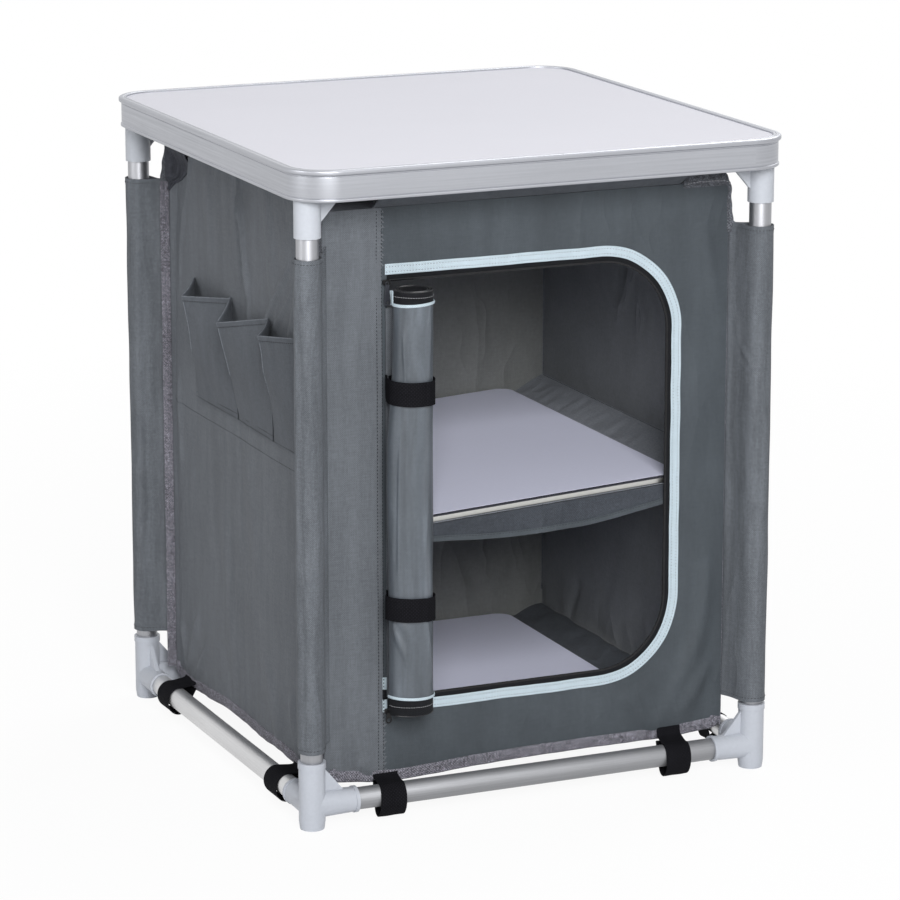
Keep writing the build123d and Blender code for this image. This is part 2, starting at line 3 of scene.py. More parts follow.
import bmesh
import bpy
import numpy as np
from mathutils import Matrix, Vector


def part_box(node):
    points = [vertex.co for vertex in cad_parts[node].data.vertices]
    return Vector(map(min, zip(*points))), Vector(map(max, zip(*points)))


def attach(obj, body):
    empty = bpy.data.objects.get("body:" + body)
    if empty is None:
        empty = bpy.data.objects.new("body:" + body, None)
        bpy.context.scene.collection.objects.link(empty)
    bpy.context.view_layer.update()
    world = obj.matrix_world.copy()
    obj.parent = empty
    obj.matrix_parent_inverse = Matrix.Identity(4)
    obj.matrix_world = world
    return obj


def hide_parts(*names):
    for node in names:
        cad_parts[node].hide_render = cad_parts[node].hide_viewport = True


# Camping kitchen unit: a framed worktop on four tubes, with a cloth cupboard hung between them.
# Shapes are worked out in millimetres and put into the meshes in metres.
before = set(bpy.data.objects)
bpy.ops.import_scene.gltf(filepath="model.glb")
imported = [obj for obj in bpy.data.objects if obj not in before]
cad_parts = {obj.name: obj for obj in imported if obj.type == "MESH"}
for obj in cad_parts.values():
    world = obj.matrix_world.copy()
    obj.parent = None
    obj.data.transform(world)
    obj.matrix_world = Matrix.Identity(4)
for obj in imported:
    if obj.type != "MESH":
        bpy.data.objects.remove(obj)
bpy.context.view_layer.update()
mm = 0.001
fullTurn = 2 * math.pi
print("frame loaded:", len(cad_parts), "nodes")

corners = {"front_left": (-1, -1), "front_right": (1, -1), "rear_left": (-1, 1), "rear_right": (1, 1)}
outwards = {"front": (0, -1), "right": (1, 0), "rear": (0, 1), "left": (-1, 0)}


def boxOf(node):
    # lowest and highest corner of a CAD node, in millimetres
    return [np.array(corner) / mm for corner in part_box(node)]


def middleOf(node):
    # half way between the two corners of a node's box
    return sum(boxOf(node)) / 2


# sizes read from the frame
frontLow, frontHigh = boxOf("front_wall")
body = {
    "halfX": frontHigh[0], "halfY": -frontLow[1], "top": frontHigh[2], "low": 41.0, "cornerRadius": 15.0, "cloth": 1.6,
}
legAt = {place: middleOf("leg_" + place) for place in corners}
railAt = {side: middleOf(side + "_rail") for side in outwards}


# ---- lines and curves
def grid(a, b):
    # the two coordinates of every pair of a and b
    return np.meshgrid(a, b, indexing="ij")


def unit(vectors):
    # each vector divided by its length
    return vectors / np.maximum(np.linalg.norm(vectors, axis=-1, keepdims=True), 1e-9)


def between(a, b, t):
    # a at 0, b at 1 and even steps between
    return a * (1 - t) + b * t


def looped(line):
    # the line with its first point once more at its end
    return np.concatenate([line, line[:1]])


def runOf(line):
    # the distance from a line's start to each of its points
    return np.concatenate([[0], np.cumsum(np.linalg.norm(np.diff(line, axis=0), axis=1))])


def sampled(line, run, at):
    # a line's columns read at distances along it
    return np.stack([np.interp(at, run, column) for column in line.T], 1)


def resampled(line, count, closed=False):
    # evenly spaced points along a line
    line = looped(line) if closed else line
    run = runOf(line)
    return sampled(line, run, np.linspace(0, run[-1], count, endpoint=not closed))


def lineNormals(line, reference):
    # directions square to the line and to the reference
    return unit(np.cross(np.gradient(line, axis=0), reference))


def circle(turn):
    # cosine and sine as columns
    return np.stack([np.cos(turn), np.sin(turn)], -1)


def smooth(x, low, high):
    # 0 below low, 1 above high and an even curve between
    t = np.clip((x - low) / (high - low), 0, 1)
    return t * t * (3 - 2 * t)


def bell(x, middle, width):
    # 1 at the middle, falling to nothing a few widths away
    return np.exp(-(((x - middle) / width) ** 2))


def softened(values, reach):
    # a running mean with bell-shaped weights over reach values to each side
    weights = bell(np.linspace(-2, 2, 2 * reach + 1), 0, 1)
    return np.convolve(np.pad(values, reach, "edge"), weights / weights.sum(), "valid")


def ripples(a, b, size, seed):
    # eight sine waves in seeded directions, added up to between about -1 and 1
    draw = np.random.default_rng(seed)
    total = np.zeros(np.broadcast(a, b).shape)
    for k in range(8):
        turn, stretch, phase = draw.uniform(0, math.pi), draw.uniform(0.6, 1.7), draw.uniform(0, fullTurn)
        total += np.sin((a * math.cos(turn) + b * math.sin(turn)) * fullTurn * stretch / size + phase)
    return total / 4


def creases(a, b, folds, scale=1.0):
    # soft ridges, each a start, an end, a width and a height, that fade out at both ends
    total = 0.0
    for start, end, width, height in folds:
        along = np.subtract(end, start)
        length = np.linalg.norm(along)
        along = along / length
        t = (a - start[0]) * along[0] + (b - start[1]) * along[1]
        d = (a - start[0]) * along[1] - (b - start[1]) * along[0]
        fade = smooth(t, -0.15 * length, 0.25 * length) * (1 - smooth(t, 0.75 * length, 1.15 * length))
        total = total + height * scale * bell(d, 0, width) * fade
    return total


def rounded(points, radii, steps=3, closed=True):
    # each corner of a flat outline becomes an arc that touches its two sides
    points = np.array(points, float)
    out, n = [], len(points)
    for k, r in enumerate(np.broadcast_to(radii, n)):
        p = points[k]
        a, b = points[k - 1] - p, points[(k + 1) % n] - p
        la, lb = np.linalg.norm(a), np.linalg.norm(b)
        a, b = a / la, b / lb
        half = math.acos(np.clip(a @ b, -1, 1)) / 2
        if r <= 0 or half > 1.55 or (not closed and k in (0, n - 1)):
            out.append(p[None])
            continue
        reach = min(r / math.tan(half), 0.49 * la, 0.49 * lb)
        centre = p + (a + b) / np.linalg.norm(a + b) * reach / math.cos(half)
        start, end = p + a * reach - centre, p + b * reach - centre
        t = np.linspace(0, 1, steps + 1)[:, None]
        angle = math.acos(np.clip(start @ end / (start @ start), -1, 1))
        out.append(centre + (np.sin((1 - t) * angle) * start + np.sin(t * angle) * end) / math.sin(angle))
    return np.concatenate(out)


def roundedRectangle(width, depth, radius, cornerSteps=14, sideSteps=10):
    # the path round a rectangle whose corners are quarter circles, and its outward directions
    arcs, facing, path, out = [], [], [], []
    for k, (sx, sy) in enumerate([(1, -1), (1, 1), (-1, 1), (-1, -1)]):
        turn = np.linspace(-math.pi / 2, 0, cornerSteps + 1) + k * math.pi / 2
        facing.append(np.column_stack([circle(turn), 0 * turn]))
        arcs.append(np.array([sx * (width / 2 - radius), sy * (depth / 2 - radius), 0]) + facing[k] * radius)
    t = np.linspace(0, 1, sideSteps + 1)[1:-1, None]
    for k in range(4):
        path += [arcs[k], between(arcs[k][-1], arcs[(k + 1) % 4][0], t)]
        out += [facing[k], np.repeat(facing[k][-1:], len(t), 0)]
    return np.concatenate(path), np.concatenate(out)


# ---- shapes: a shape is points, four-sided faces with a place in the weave for each corner, and caps
def lengthUv(points, wrapRows, wrapCols):
    # the mean distance along the rows and along the columns, in metres
    p = looped(points) if wrapRows else points
    p = np.concatenate([p, p[:, :1]], 1) if wrapCols else p
    u = np.linalg.norm(np.diff(p, axis=0), axis=2).mean(1)
    v = np.linalg.norm(np.diff(p, axis=1), axis=2).mean(0)
    return np.stack(grid(*(np.concatenate([[0], np.cumsum(steps)]) * mm for steps in (u, v))), -1)


def gridShape(points, wrapRows=False, wrapCols=False, uv=None):
    # point (i, j) is joined to (i+1, j), (i+1, j+1) and (i, j+1); uv has one more row or column where it wraps
    rows, cols = points.shape[:2]
    i, j = grid(np.arange(rows - (not wrapRows)), np.arange(cols - (not wrapCols)))
    nextI, nextJ = (i + 1) % rows, (j + 1) % cols
    faces = np.stack([i * cols + j, nextI * cols + j, nextI * cols + nextJ, i * cols + nextJ], -1).reshape(-1, 4)
    uv = lengthUv(points, wrapRows, wrapCols) if uv is None else uv
    corner = np.stack([uv[i, j], uv[i + 1, j], uv[i + 1, j + 1], uv[i, j + 1]], -2).reshape(-1, 4, 2)
    return {
        "points": points.reshape(-1, 3), "faces": faces, "uv": corner, "kind": np.zeros(len(faces), int), "caps": [],
    }


def capped(shape, count):
    # a flat face over the first and one over the last ring of count points
    last = len(shape["points"]) - count
    shape["caps"] = [list(range(count)), list(range(last, last + count))]
    return shape


def joined(shapes):
    # several shapes as one, their point numbers moved on
    starts = np.cumsum([0] + [len(s["points"]) for s in shapes])
    whole = {key: np.concatenate([s[key] for s in shapes]) for key in ("points", "uv", "kind")}
    whole["faces"] = np.concatenate([s["faces"] + start for s, start in zip(shapes, starts)])
    whole["caps"] = [[int(start) + k for k in cap] for s, start in zip(shapes, starts) for cap in s["caps"]]
    return whole


def gridNormals(points, wrapRows=False, wrapCols=False):
    # the cross product of the differences along columns and rows
    def step(axis, wrap):
        # the next point less the one before
        if wrap:
            return np.roll(points, -1, axis) - np.roll(points, 1, axis)
        return np.gradient(points, axis=axis)

    return unit(np.cross(step(1, wrapCols), step(0, wrapRows)))


def shellShape(points, thickness, wrapRows=False, wrapCols=False, uv=None):
    # a sheet of cloth: the grid, the same grid moved along its normals, and a wall along each open edge
    rows, cols = points.shape[:2]
    inner = points + gridNormals(points, wrapRows, wrapCols) * thickness
    uv = lengthUv(points, wrapRows, wrapCols) if uv is None else uv
    back = gridShape(inner, wrapRows, wrapCols, uv)
    back["kind"][:] = 1
    shape = joined([gridShape(points, wrapRows, wrapCols, uv), back])
    index = np.arange(rows * cols).reshape(rows, cols)
    flat = uv[:rows, :cols].reshape(-1, 2)
    for edge in ([] if wrapRows else [index[0], index[-1]]) + ([] if wrapCols else [index[:, 0], index[:, -1]]):
        ring = looped(edge) if wrapRows or wrapCols else edge
        a, b = ring[:-1], ring[1:]
        wall = np.stack([a, b, b + rows * cols, a + rows * cols], -1)
        place = np.stack([flat[a], flat[b], flat[b], flat[a]], 1)
        for key, more in (("faces", wall), ("uv", place), ("kind", np.zeros(len(wall), int))):
            shape[key] = np.concatenate([shape[key], more])
    return shape


def sweepShape(path, across, up, profile, closedPath=False):
    # each profile point (a, b) lies at path + a * across + b * up; the profile is a closed loop
    across, up = (np.broadcast_to(one, path.shape)[:, None] for one in (across, up))
    shape = gridShape(path[:, None] + across * profile[:, :1] + up * profile[:, 1:], closedPath, True)
    return shape if closedPath else capped(shape, len(profile))


def slabShape(width, depth, radius, low, high, bevel):
    # a board with rounded corners and a small quarter circle along its upper and lower edges
    path, out = roundedRectangle(width, depth, radius)
    turn = np.linspace(0, math.pi / 2, 5)
    lower = np.stack([bevel * (np.sin(turn) - 1), low + bevel * (1 - np.cos(turn))], 1)
    upper = np.stack([bevel * (np.cos(turn) - 1), high + bevel * (np.sin(turn) - 1)], 1)
    profile = np.concatenate([lower, upper])[:, None]
    points = path + out * profile[..., :1] + np.array([0, 0, 1]) * profile[..., 1:]
    return capped(gridShape(points, False, True), len(path))


thread = {"length": 2.4, "gap": 1.3, "width": 0.55, "lift": 0.12, "slant": 0.0}


def stitchShape(line, facing, closed=False, **change):
    # thread runs: each stitch is a small pointed bar that lies on the surface, and they are evenly spaced
    look = dict(thread, **change)
    facing = np.broadcast_to(facing, line.shape)
    if closed:
        line, facing = looped(line), looped(facing)
    run = runOf(line)
    count = max(1, int(run[-1] / (look["length"] + look["gap"])))
    at = (np.arange(count) + 0.5) * run[-1] / count
    up = unit(sampled(facing, run, at))
    forward = unit(sampled(line, run, at + 0.4) - sampled(line, run, at - 0.4))
    side = np.cross(up, forward)
    c, s = circle(math.radians(look["slant"]))
    basis = np.stack([forward * c + side * s, side * c - forward * s, up], 1)
    half, r = look["length"] / 2, look["width"] / 2
    turn = np.linspace(0, fullTurn, 6, endpoint=False)
    rings = [(-half, 0.25), (-half * 0.6, 1.0), (half * 0.6, 1.0), (half, 0.25)]
    bar = np.concatenate([np.column_stack([0 * turn + t, r * size * circle(turn)]) for t, size in rings])
    points = sampled(line, run, at)[:, None] + (bar + [0, 0, look["lift"]]) @ basis
    row = np.arange(6)
    ahead = (row + 1) % 6
    sides = [np.stack([k + row, k + ahead, k + 6 + ahead, k + 6 + row], 1) for k in (0, 6, 12)]
    faces = np.concatenate(sides + [np.array([[0, 1, 2, 3], [0, 3, 4, 5], [18, 21, 20, 19], [18, 23, 22, 21]])])
    every = ((np.arange(count) * 24)[:, None, None] + faces).reshape(-1, 4)
    return {
        "points": points.reshape(-1, 3), "faces": every, "uv": np.zeros((len(every), 4, 2)),
        "kind": np.zeros(len(every), int), "caps": [],
    }


# ---- pieces
def placed(name, mesh, materials, bodyName, stands, sharpAngle):
    # a mesh as an object that rides on a body, smooth but for edges sharper than the angle
    mesh.polygons.foreach_set("use_smooth", np.ones(len(mesh.polygons), bool))
    mesh.set_sharp_from_angle(angle=math.radians(sharpAngle))
    for material in materials:
        mesh.materials.append(bpy.data.materials[material])
    piece = bpy.data.objects.new(name, mesh)
    bpy.context.scene.collection.objects.link(piece)
    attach(piece, bodyName)
    if stands:
        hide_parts(*stands)
    return piece


def addPiece(name, shape, material, stands=(), bodyName="root", slotName="grey_canvas", sharpAngle=50):
    # a shape or a list of shapes as one mesh in metres; kind 0 is the outer face, 1 the inner, 2 a second outer cloth
    shape = joined(shape) if isinstance(shape, list) else shape
    materials = material if isinstance(material, list) else [material]
    points, caps = shape["points"] * mm, shape["caps"]
    mesh = bpy.data.meshes.new(name)
    mesh.from_pydata(points.tolist(), [], shape["faces"].tolist() + caps)
    capUv = points[[k for cap in caps for k in cap], :2] if caps else np.zeros((0, 2))
    flat = np.concatenate([shape["uv"].reshape(-1, 2), capUv])
    mesh.uv_layers.new(name="UVMap").data.foreach_set("uv", flat.astype(np.float32).ravel())
    work = bmesh.new()
    work.from_mesh(mesh)
    bmesh.ops.recalc_face_normals(work, faces=work.faces)
    work.to_mesh(mesh)
    work.free()
    piece = placed(name, mesh, materials, bodyName, stands, sharpAngle)
    kinds = np.concatenate([shape["kind"], np.zeros(len(caps), int)])
    mesh.polygons.foreach_set("material_index", np.minimum(kinds, len(materials) - 1).astype(np.int32))
    return piece


def addSheet(name, shape, material, node, flat, rests, held="hung", area=None, **more):
    # a cloth piece in place of one soft solid; its flat width and length, in millimetres, are not used
    piece = addPiece(name, shape, material, [node], **more)


def addStitches(name, rows, material="darkThread", bodyName="root"):
    # rows of thread as one piece
    addPiece(name, rows, material, (), bodyName, None, 40)


def addFromFrame(name, node, material, bodyName, bevel, change=None):
    # a merged copy of a CAD node, its flat faces made whole and its edges eased
    sharp = 32
    work = bmesh.new()
    work.from_mesh(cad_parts[node].data)
    bmesh.ops.remove_doubles(work, verts=work.verts, dist=0.00001)
    bmesh.ops.dissolve_limit(work, angle_limit=math.radians(1.0), verts=work.verts, edges=work.edges)
    mesh = bpy.data.meshes.new(name)
    work.to_mesh(mesh)
    work.free()
    if change:
        flat = np.empty(3 * len(mesh.vertices), np.float32)
        mesh.vertices.foreach_get("co", flat)
        mesh.vertices.foreach_set("co", (change(flat.reshape(-1, 3) / mm) * mm).astype(np.float32).ravel())
    mesh.materials.clear()
    ease = placed(name, mesh, [material], bodyName, [node], sharp).modifiers.new("easedEdges", "BEVEL")
    ease.width = bevel * mm
    ease.segments = 3
    ease.limit_method = "ANGLE"
    ease.angle_limit = math.radians(sharp)


# ---- materials
def colour(shown):
    # a colour as seen on screen, 0 to 255, in the shader's linear values
    s = np.array(shown) / 255
    return tuple(np.where(s <= 0.04045, s / 12.92, ((s + 0.055) / 1.055) ** 2.4)) + (1.0,)


class Nodes:
    # short names for building a node tree; a feed is a link or a constant for a named or numbered socket
    def __init__(self, tree):
        self.tree = tree

    def feed(self, sockets, feeds):
        # link a socket, or set a constant
        for key, value in feeds.items():
            if isinstance(value, bpy.types.NodeSocket):
                self.tree.links.new(value, sockets[key])
            else:
                sockets[key].default_value = value

    def add(self, kind, feeds=None, **settings):
        # a node with its settings and feeds; gives its outputs
        node = self.tree.nodes.new(kind if kind.startswith("Node") else "ShaderNode" + kind)
        for key, value in settings.items():
            setattr(node, key, value)
        self.feed(node.inputs, feeds or {})
        return node.outputs

    def math(self, operation, a, b=0.0, c=0.0):
        # one operation on up to three values
        return self.add("Math", {0: a, 1: b, 2: c}, operation=operation)[0]

    def times(self, a, b):
        # a times b
        return self.math("MULTIPLY", a, b)

    def split(self, vector):
        # a vector's three parts
        return self.add("SeparateXYZ", {0: vector})

    def merged(self, x, y, z):
        # a vector of three parts
        return self.add("CombineXYZ", {0: x, 1: y, 2: z})[0]

    def scaled(self, vector, *scale):
        # each part of a vector times its own scale
        return self.add("Mapping", {"Vector": vector, "Scale": scale})[0]

    def noise(self, vector, scale, detail=3.0, rough=0.5):
        # smooth noise about one half
        return self.add("TexNoise", {"Vector": vector, "Scale": scale, "Detail": detail, "Roughness": rough})["Fac"]

    def mix(self, factor, a, b, blend="MIX"):
        # colour a at factor 0, b at 1
        return self.add("Mix", {"Factor": factor, 6: a, 7: b}, data_type="RGBA", blend_type=blend)[2]

    def ramp(self, value, low, high, outLow=0.0, outHigh=1.0):
        # a straight ramp from low and high to two other values, held beyond them
        ends = {"From Min": low, "From Max": high, "To Min": outLow, "To Max": outHigh}
        return self.add("MapRange", {"Value": value, **ends})[0]

    def around(self, value, low, high, amount, up=1.0):
        # a value that swings about 1 by the amount
        return self.ramp(value, low, high, 1.0 - amount, 1.0 + amount * up)

    def tinted(self, base, value):
        # a colour multiplied by one value
        grey = self.add("CombineColor", {0: value, 1: value, 2: value})[0]
        return self.mix(1.0, base, grey, "MULTIPLY")

    def group(self, made, **feeds):
        # a node group with its feeds
        return self.add("Group", feeds, node_tree=made)

    def bump(self, height, strength, distance):
        # a normal that leans with the height's slope
        return self.add("Bump", {"Height": height, "Strength": strength, "Distance": distance})[0]


def newGroup(name, inputs, outputs):
    # a node group; no default means a vector, and all outputs are floats but Color
    made = bpy.data.node_groups.new(name, "ShaderNodeTree")
    kinds = {type(None): "NodeSocketVector", tuple: "NodeSocketColor", float: "NodeSocketFloat"}
    for label, value in inputs.items():
        socket = made.interface.new_socket(label, in_out="INPUT", socket_type=kinds[type(value)])
        if value is not None:
            socket.default_value = value
    for label in outputs:
        kind = kinds[tuple if label == "Color" else float]
        made.interface.new_socket(label, in_out="OUTPUT", socket_type=kind)
    n = Nodes(made)
    end = made.nodes.new("NodeGroupOutput").inputs
    return made, n, n.add("NodeGroupInput"), end


def weaveGroup():
    # plain weave: threads cross in a chequer, each a rounded ridge that dips under its neighbours
    made, n, inside, out = newGroup(
        "plainWeave", {"Vector": None, "Threads": 900.0, "Slub": 0.5}, ["Height", "Over", "Yarn"]
    )
    wander = n.noise(inside["Vector"], 180.0, 2.0)
    shifted = n.add("VectorMath", {0: inside["Vector"], "Scale": inside["Threads"]}, operation="SCALE")[0]
    parts = n.split(shifted)
    waves = []
    for k in (0, 1):
        place = n.math("MULTIPLY_ADD", wander, inside["Slub"], parts[k])
        waves.append(n.math("SINE", n.times(place, math.pi)))
    over = n.math("GREATER_THAN", n.times(*waves), 0.0)
    x, y = (n.math("ABSOLUTE", wave) for wave in waves)
    warp = n.times(x, n.math("MULTIPLY_ADD", y, 0.4, 0.6))
    weft = n.times(y, n.math("MULTIPLY_ADD", x, 0.4, 0.6))
    height = n.add("Mix", {0: over, 2: weft, 3: warp}, data_type="FLOAT")[0]
    ends = [n.noise(n.scaled(shifted, *scale), 1.0, 1.0) for scale in ((1.0, 0.06, 1.0), (0.06, 1.0, 1.0))]
    n.feed(out, {"Height": height, "Over": over, "Yarn": n.times(n.math("ADD", *ends), 0.5)})
    return made


def mottleGroup():
    # two sizes of soft cloud make a colour lighter and darker by the amount
    made, n, inside, out = newGroup(
        "softMottle", {"Vector": None, "Color": (0.5, 0.5, 0.5, 1), "Amount": 0.1, "Fine": 0.1}, ["Color"]
    )
    wide = n.math("SUBTRACT", n.noise(inside["Vector"], 9.0, 3.0), 0.5)
    small = n.math("SUBTRACT", n.noise(inside["Vector"], 260.0, 2.0), 0.5)
    total = n.math("MULTIPLY_ADD", wide, inside["Amount"], n.times(small, inside["Fine"]))
    n.feed(out, {"Color": n.tinted(inside["Color"], n.math("MULTIPLY_ADD", total, 2.0, 1.0))})
    return made


def brushedGroup():
    # long fine streaks along the first axis of the vector
    made, n, inside, out = newGroup("brushedGrain", {"Vector": None, "Length": 0.02}, ["Streak", "Height"])
    x, y, z = n.split(inside["Vector"])
    place = n.merged(n.times(x, inside["Length"]), y, z)
    fine = n.noise(place, 2600.0, 2.0)
    streak = n.math("MULTIPLY_ADD", n.noise(place, 420.0, 2.0), 0.6, n.times(fine, 0.4))
    n.feed(out, {"Streak": streak, "Height": fine})
    return made


def crumpleGroup():
    # soft creases: folded noise, whose middle value becomes a sharp ridge, at two sizes, in metres of height
    made, n, inside, out = newGroup("softCrumple", {"Vector": None, "Depth": 0.002}, ["Height"])
    drift = n.add("TexNoise", {"Vector": inside["Vector"], "Scale": 7.0})["Color"]
    bent = n.add("VectorMath", {0: drift, 1: (0.05, 0.05, 0.05), 2: inside["Vector"]}, operation="MULTIPLY_ADD")[0]
    tall = n.scaled(bent, 1.0, 1.0, 0.45)
    ridges = []
    for size, share in ((9.0, 0.65), (24.0, 0.35)):
        folded = n.math("ABSOLUTE", n.math("SUBTRACT", n.noise(tall, size, 1.0), 0.5))
        ridge = n.math("SUBTRACT", 1.0, n.math("MINIMUM", n.times(folded, 5.0), 1.0))
        ridges.append(n.times(n.math("POWER", ridge, 2.0), share))
    mask = n.ramp(n.noise(inside["Vector"], 5.0, 2.0), 0.42, 0.62)
    n.feed(out, {"Height": n.times(n.times(n.math("ADD", *ridges), mask), inside["Depth"])})
    return made


weave, mottle, brushed, crumple = weaveGroup(), mottleGroup(), brushedGroup(), crumpleGroup()


def newMaterial(name):
    # a principled material: its nodes, the shader's inputs, and the places on the weave and in the object
    material = bpy.data.materials.new(name)
    material.use_nodes = True
    n = Nodes(material.node_tree)
    coords = n.add("TexCoord")
    return n, material.node_tree.nodes["Principled BSDF"].inputs, coords["UV"], coords["Object"]


def clouded(n, place, base, look, fine):
    # a colour with soft clouds of tone
    return n.group(mottle, Vector=place, Color=base, Amount=look["mottle"], Fine=fine)["Color"]


def clothMaterial(name, look):
    # woven cloth: two thread colours, soft clouds of tone, specks, upright bands of painted sheen and shade, and a dull
    # sheen
    n, shader, uv, place = newMaterial(name)
    woven = n.group(weave, Vector=uv, Threads=look["threads"], Slub=look["slub"])
    tone = clouded(n, place, n.mix(woven["Over"], colour(look["warp"]), colour(look["weft"])), look, look["fine"])
    yarn = n.around(woven["Yarn"], 0.3, 0.7, look["yarn"])
    depth = n.times(n.ramp(woven["Height"], 0.0, 1.0, look["valley"], 1.06), yarn)
    if look["speckle"]:
        # a felted face: specks a millimetre or two across
        depth = n.times(depth, n.around(n.noise(place, 480.0, 2.0, 0.75), 0.38, 0.62, look["speckle"]))
    if look["streaks"]:
        # long upright bands of tone that paint sheen and shade, pushed sideways by a wide drift; their peaks add narrow
        # painted highlight lines
        size, amount, paintedHighlight = look["streaks"]
        drift = n.times(n.noise(place, 7.0, 1.0), 0.03)
        x, y, z = n.split(place)
        upright = n.merged(n.math("ADD", x, drift), n.math("ADD", y, drift), n.times(z, 0.06))
        band = n.noise(upright, size, 3.0, 0.6)
        paintedSheen = n.math("ADD", n.around(band, 0.35, 0.68, amount), n.ramp(band, 0.58, 0.64, 0.0, paintedHighlight))
        depth = n.times(depth, paintedSheen)
    folds = n.group(crumple, Vector=place, Depth=look["crumple"])["Height"]
    height = n.math("ADD", n.times(woven["Height"], 0.0003 * look["bump"]), folds)
    n.feed(shader, {
        "Base Color": n.tinted(tone, depth),
        "Roughness": n.ramp(woven["Height"], 0.0, 1.0, look["rough"] + 0.12, look["rough"]),
        "Specular IOR Level": look["gloss"],
        "Sheen Weight": look["sheen"],
        "Sheen Roughness": 0.5,
        "Normal": n.bump(height, 1.0, 1.0),
    })


def metalMaterial(name, look):
    # drawn or brushed metal: streaks in colour, roughness and height
    n, shader, uv, place = newMaterial(name)
    tone = clouded(n, place, colour(look["colour"]), look, 0.02)
    grain = n.group(brushed, Vector=uv, Length=look["streak"])
    n.feed(shader, {
        "Base Color": n.tinted(tone, n.around(grain["Streak"], 0.3, 0.7, look["contrast"], 0.5)),
        "Metallic": 1.0,
        "Roughness": n.ramp(grain["Streak"], 0.3, 0.7, look["rough"] + 0.07, look["rough"] - 0.05),
        "Normal": n.bump(grain["Height"], look["bump"], 0.00005),
    })


def plasticMaterial(name, look):
    # moulded plastic: a faint cloud of tone and a fine spark-eroded grain
    n, shader, _, place = newMaterial(name)
    tone = clouded(n, place, colour(look["colour"]), look, 0.05)
    n.feed(shader, {
        "Base Color": tone,
        "Roughness": n.ramp(n.noise(place, 60.0, 2.0), 0.3, 0.7, look["rough"] - 0.05, look["rough"] + 0.06),
        "Specular IOR Level": look["gloss"],
        "Normal": n.bump(n.noise(place, 1400.0, 3.0, 0.6), look["bump"], 0.0001),
    })


def laminateMaterial(name, look):
    # printed laminate: very fine speckle, faint clouds, a satin face
    n, shader, _, place = newMaterial(name)
    tone = clouded(n, place, colour(look["colour"]), look, 0.02)
    speck = n.noise(place, 900.0, 2.0, 0.7)
    n.feed(shader, {
        "Base Color": n.mix(n.ramp(speck, 0.60, 0.72, 0.0, look["speck"]), tone, colour(look["speckColour"])),
        "Roughness": n.ramp(speck, 0.3, 0.7, look["rough"] + 0.05, look["rough"] - 0.04),
        "Specular IOR Level": look["gloss"],
        "Normal": n.bump(speck, look["bump"], 0.0001),
    })


# each family of looks starts from a common one; streaks are size, amount of painted sheen and shade, and height of
# painted highlight lines
clothLook = dict(
    warp=(103, 107, 112), weft=(91, 95, 101), threads=900.0, slub=0.9, valley=0.76, yarn=0.13, mottle=0.16, fine=0.14,
    rough=0.60, gloss=0.14, sheen=0.02, bump=0.35, crumple=0.0026, streaks=(70.0, 0.07, 0.0), speckle=0.0,
)
liningLook = dict(yarn=0.08, rough=0.5, gloss=0.25, bump=0.25, crumple=0.004, streaks=(30.0, 0.015, 0.0))
clothLooks = {
    "greyCanvas": {},
    "panelCanvas": dict(
        warp=(73, 79, 84), weft=(66, 71, 76), threads=1000.0, yarn=0.09, rough=0.5, valley=0.85, fine=0.10, mottle=0.26,
        streaks=(30.0, 0.08, 0.0),
    ),
    "pocketCanvas": dict(warp=(90, 94, 100), weft=(80, 84, 90), threads=1000.0, yarn=0.09),
    "coatedLining": dict(liningLook, warp=(127, 130, 133), weft=(119, 122, 126)),
    # a darker, more neutral copy of the lining: painted shade on the inside of the rear wall
    "rearLining": dict(liningLook, warp=(120, 122, 121), weft=(112, 114, 114)),
    # the roll's coated cloth: strong streaks paint its sheen, and their peaks paint narrow highlight lines
    "coatedCanvas": dict(
        warp=(83, 89, 96), weft=(77, 83, 90), threads=1100.0, yarn=0.05, rough=0.3, gloss=0.5, bump=0.12, mottle=0.10,
        crumple=0.0030, valley=0.9, streaks=(50.0, 0.26, 0.24),
    ),
    "hemBinding": dict(
        warp=(134, 133, 142), weft=(94, 93, 101), threads=640.0, valley=0.75, yarn=0.3, bump=0.8, slub=3.0, mottle=0.25,
        fine=0.3, speckle=0.5,
    ),
    "frayedCloth": dict(
        warp=(100, 103, 109), weft=(70, 72, 78), threads=600.0, yarn=0.25, slub=2.0, bump=0.8, speckle=0.5,
    ),
    "edgeCanvas": dict(warp=(120, 125, 132), weft=(104, 109, 116), threads=1000.0, speckle=0.25),
    # the sling's cloth is a lighter copy of the lining: painted light on the shaded sling
    "slingCloth": dict(
        warp=(140, 144, 152), weft=(130, 134, 141), streaks=None, rough=0.45, gloss=0.3, speckle=0.12, crumple=0.004,
    ),
    # the gusset's dark cloth is painted shade in the fold behind the rear left seam
    "gussetCloth": dict(
        warp=(70, 72, 79), weft=(52, 54, 61), threads=600.0, yarn=0.25, mottle=0.3, fine=0.6, slub=2.0, bump=0.8,
    ),
    "blackWebbing": dict(
        warp=(29, 29, 33), weft=(20, 20, 23), threads=520.0, valley=0.5, rough=0.85, gloss=0.05, sheen=0.0, crumple=0.0,
        bump=0.8, mottle=0.12,
    ),
    "paleBinding": dict(
        warp=(193, 205, 212), weft=(173, 191, 201), streaks=None, threads=800.0, valley=0.80, yarn=0.08, rough=0.7,
        mottle=0.04, fine=0.04, bump=0.6, crumple=0.0,
    ),
    "zipTape": dict(warp=(31, 32, 35), weft=(22, 23, 26), valley=0.65, rough=0.7, gloss=0.08, bump=0.6, crumple=0.0),
    # the skirt's cloth is a darker, more mottled copy of the panel canvas: painted shade under the shelf
    "skirtCanvas": dict(
        warp=(66, 70, 77), weft=(55, 59, 65), crumple=0.008, mottle=0.34, streaks=None, speckle=0.12,
    ),
    # the tunnels' cloth: strong upright streaks paint bands of shade and sheen down the tunnels
    "sleeveCanvas": dict(warp=(100, 104, 109), weft=(88, 92, 98), streaks=(90.0, 0.16, 0.0), speckle=0.1),
}
plasticLook = dict(mottle=0.1, rough=0.7, bump=0.3, gloss=0.3)
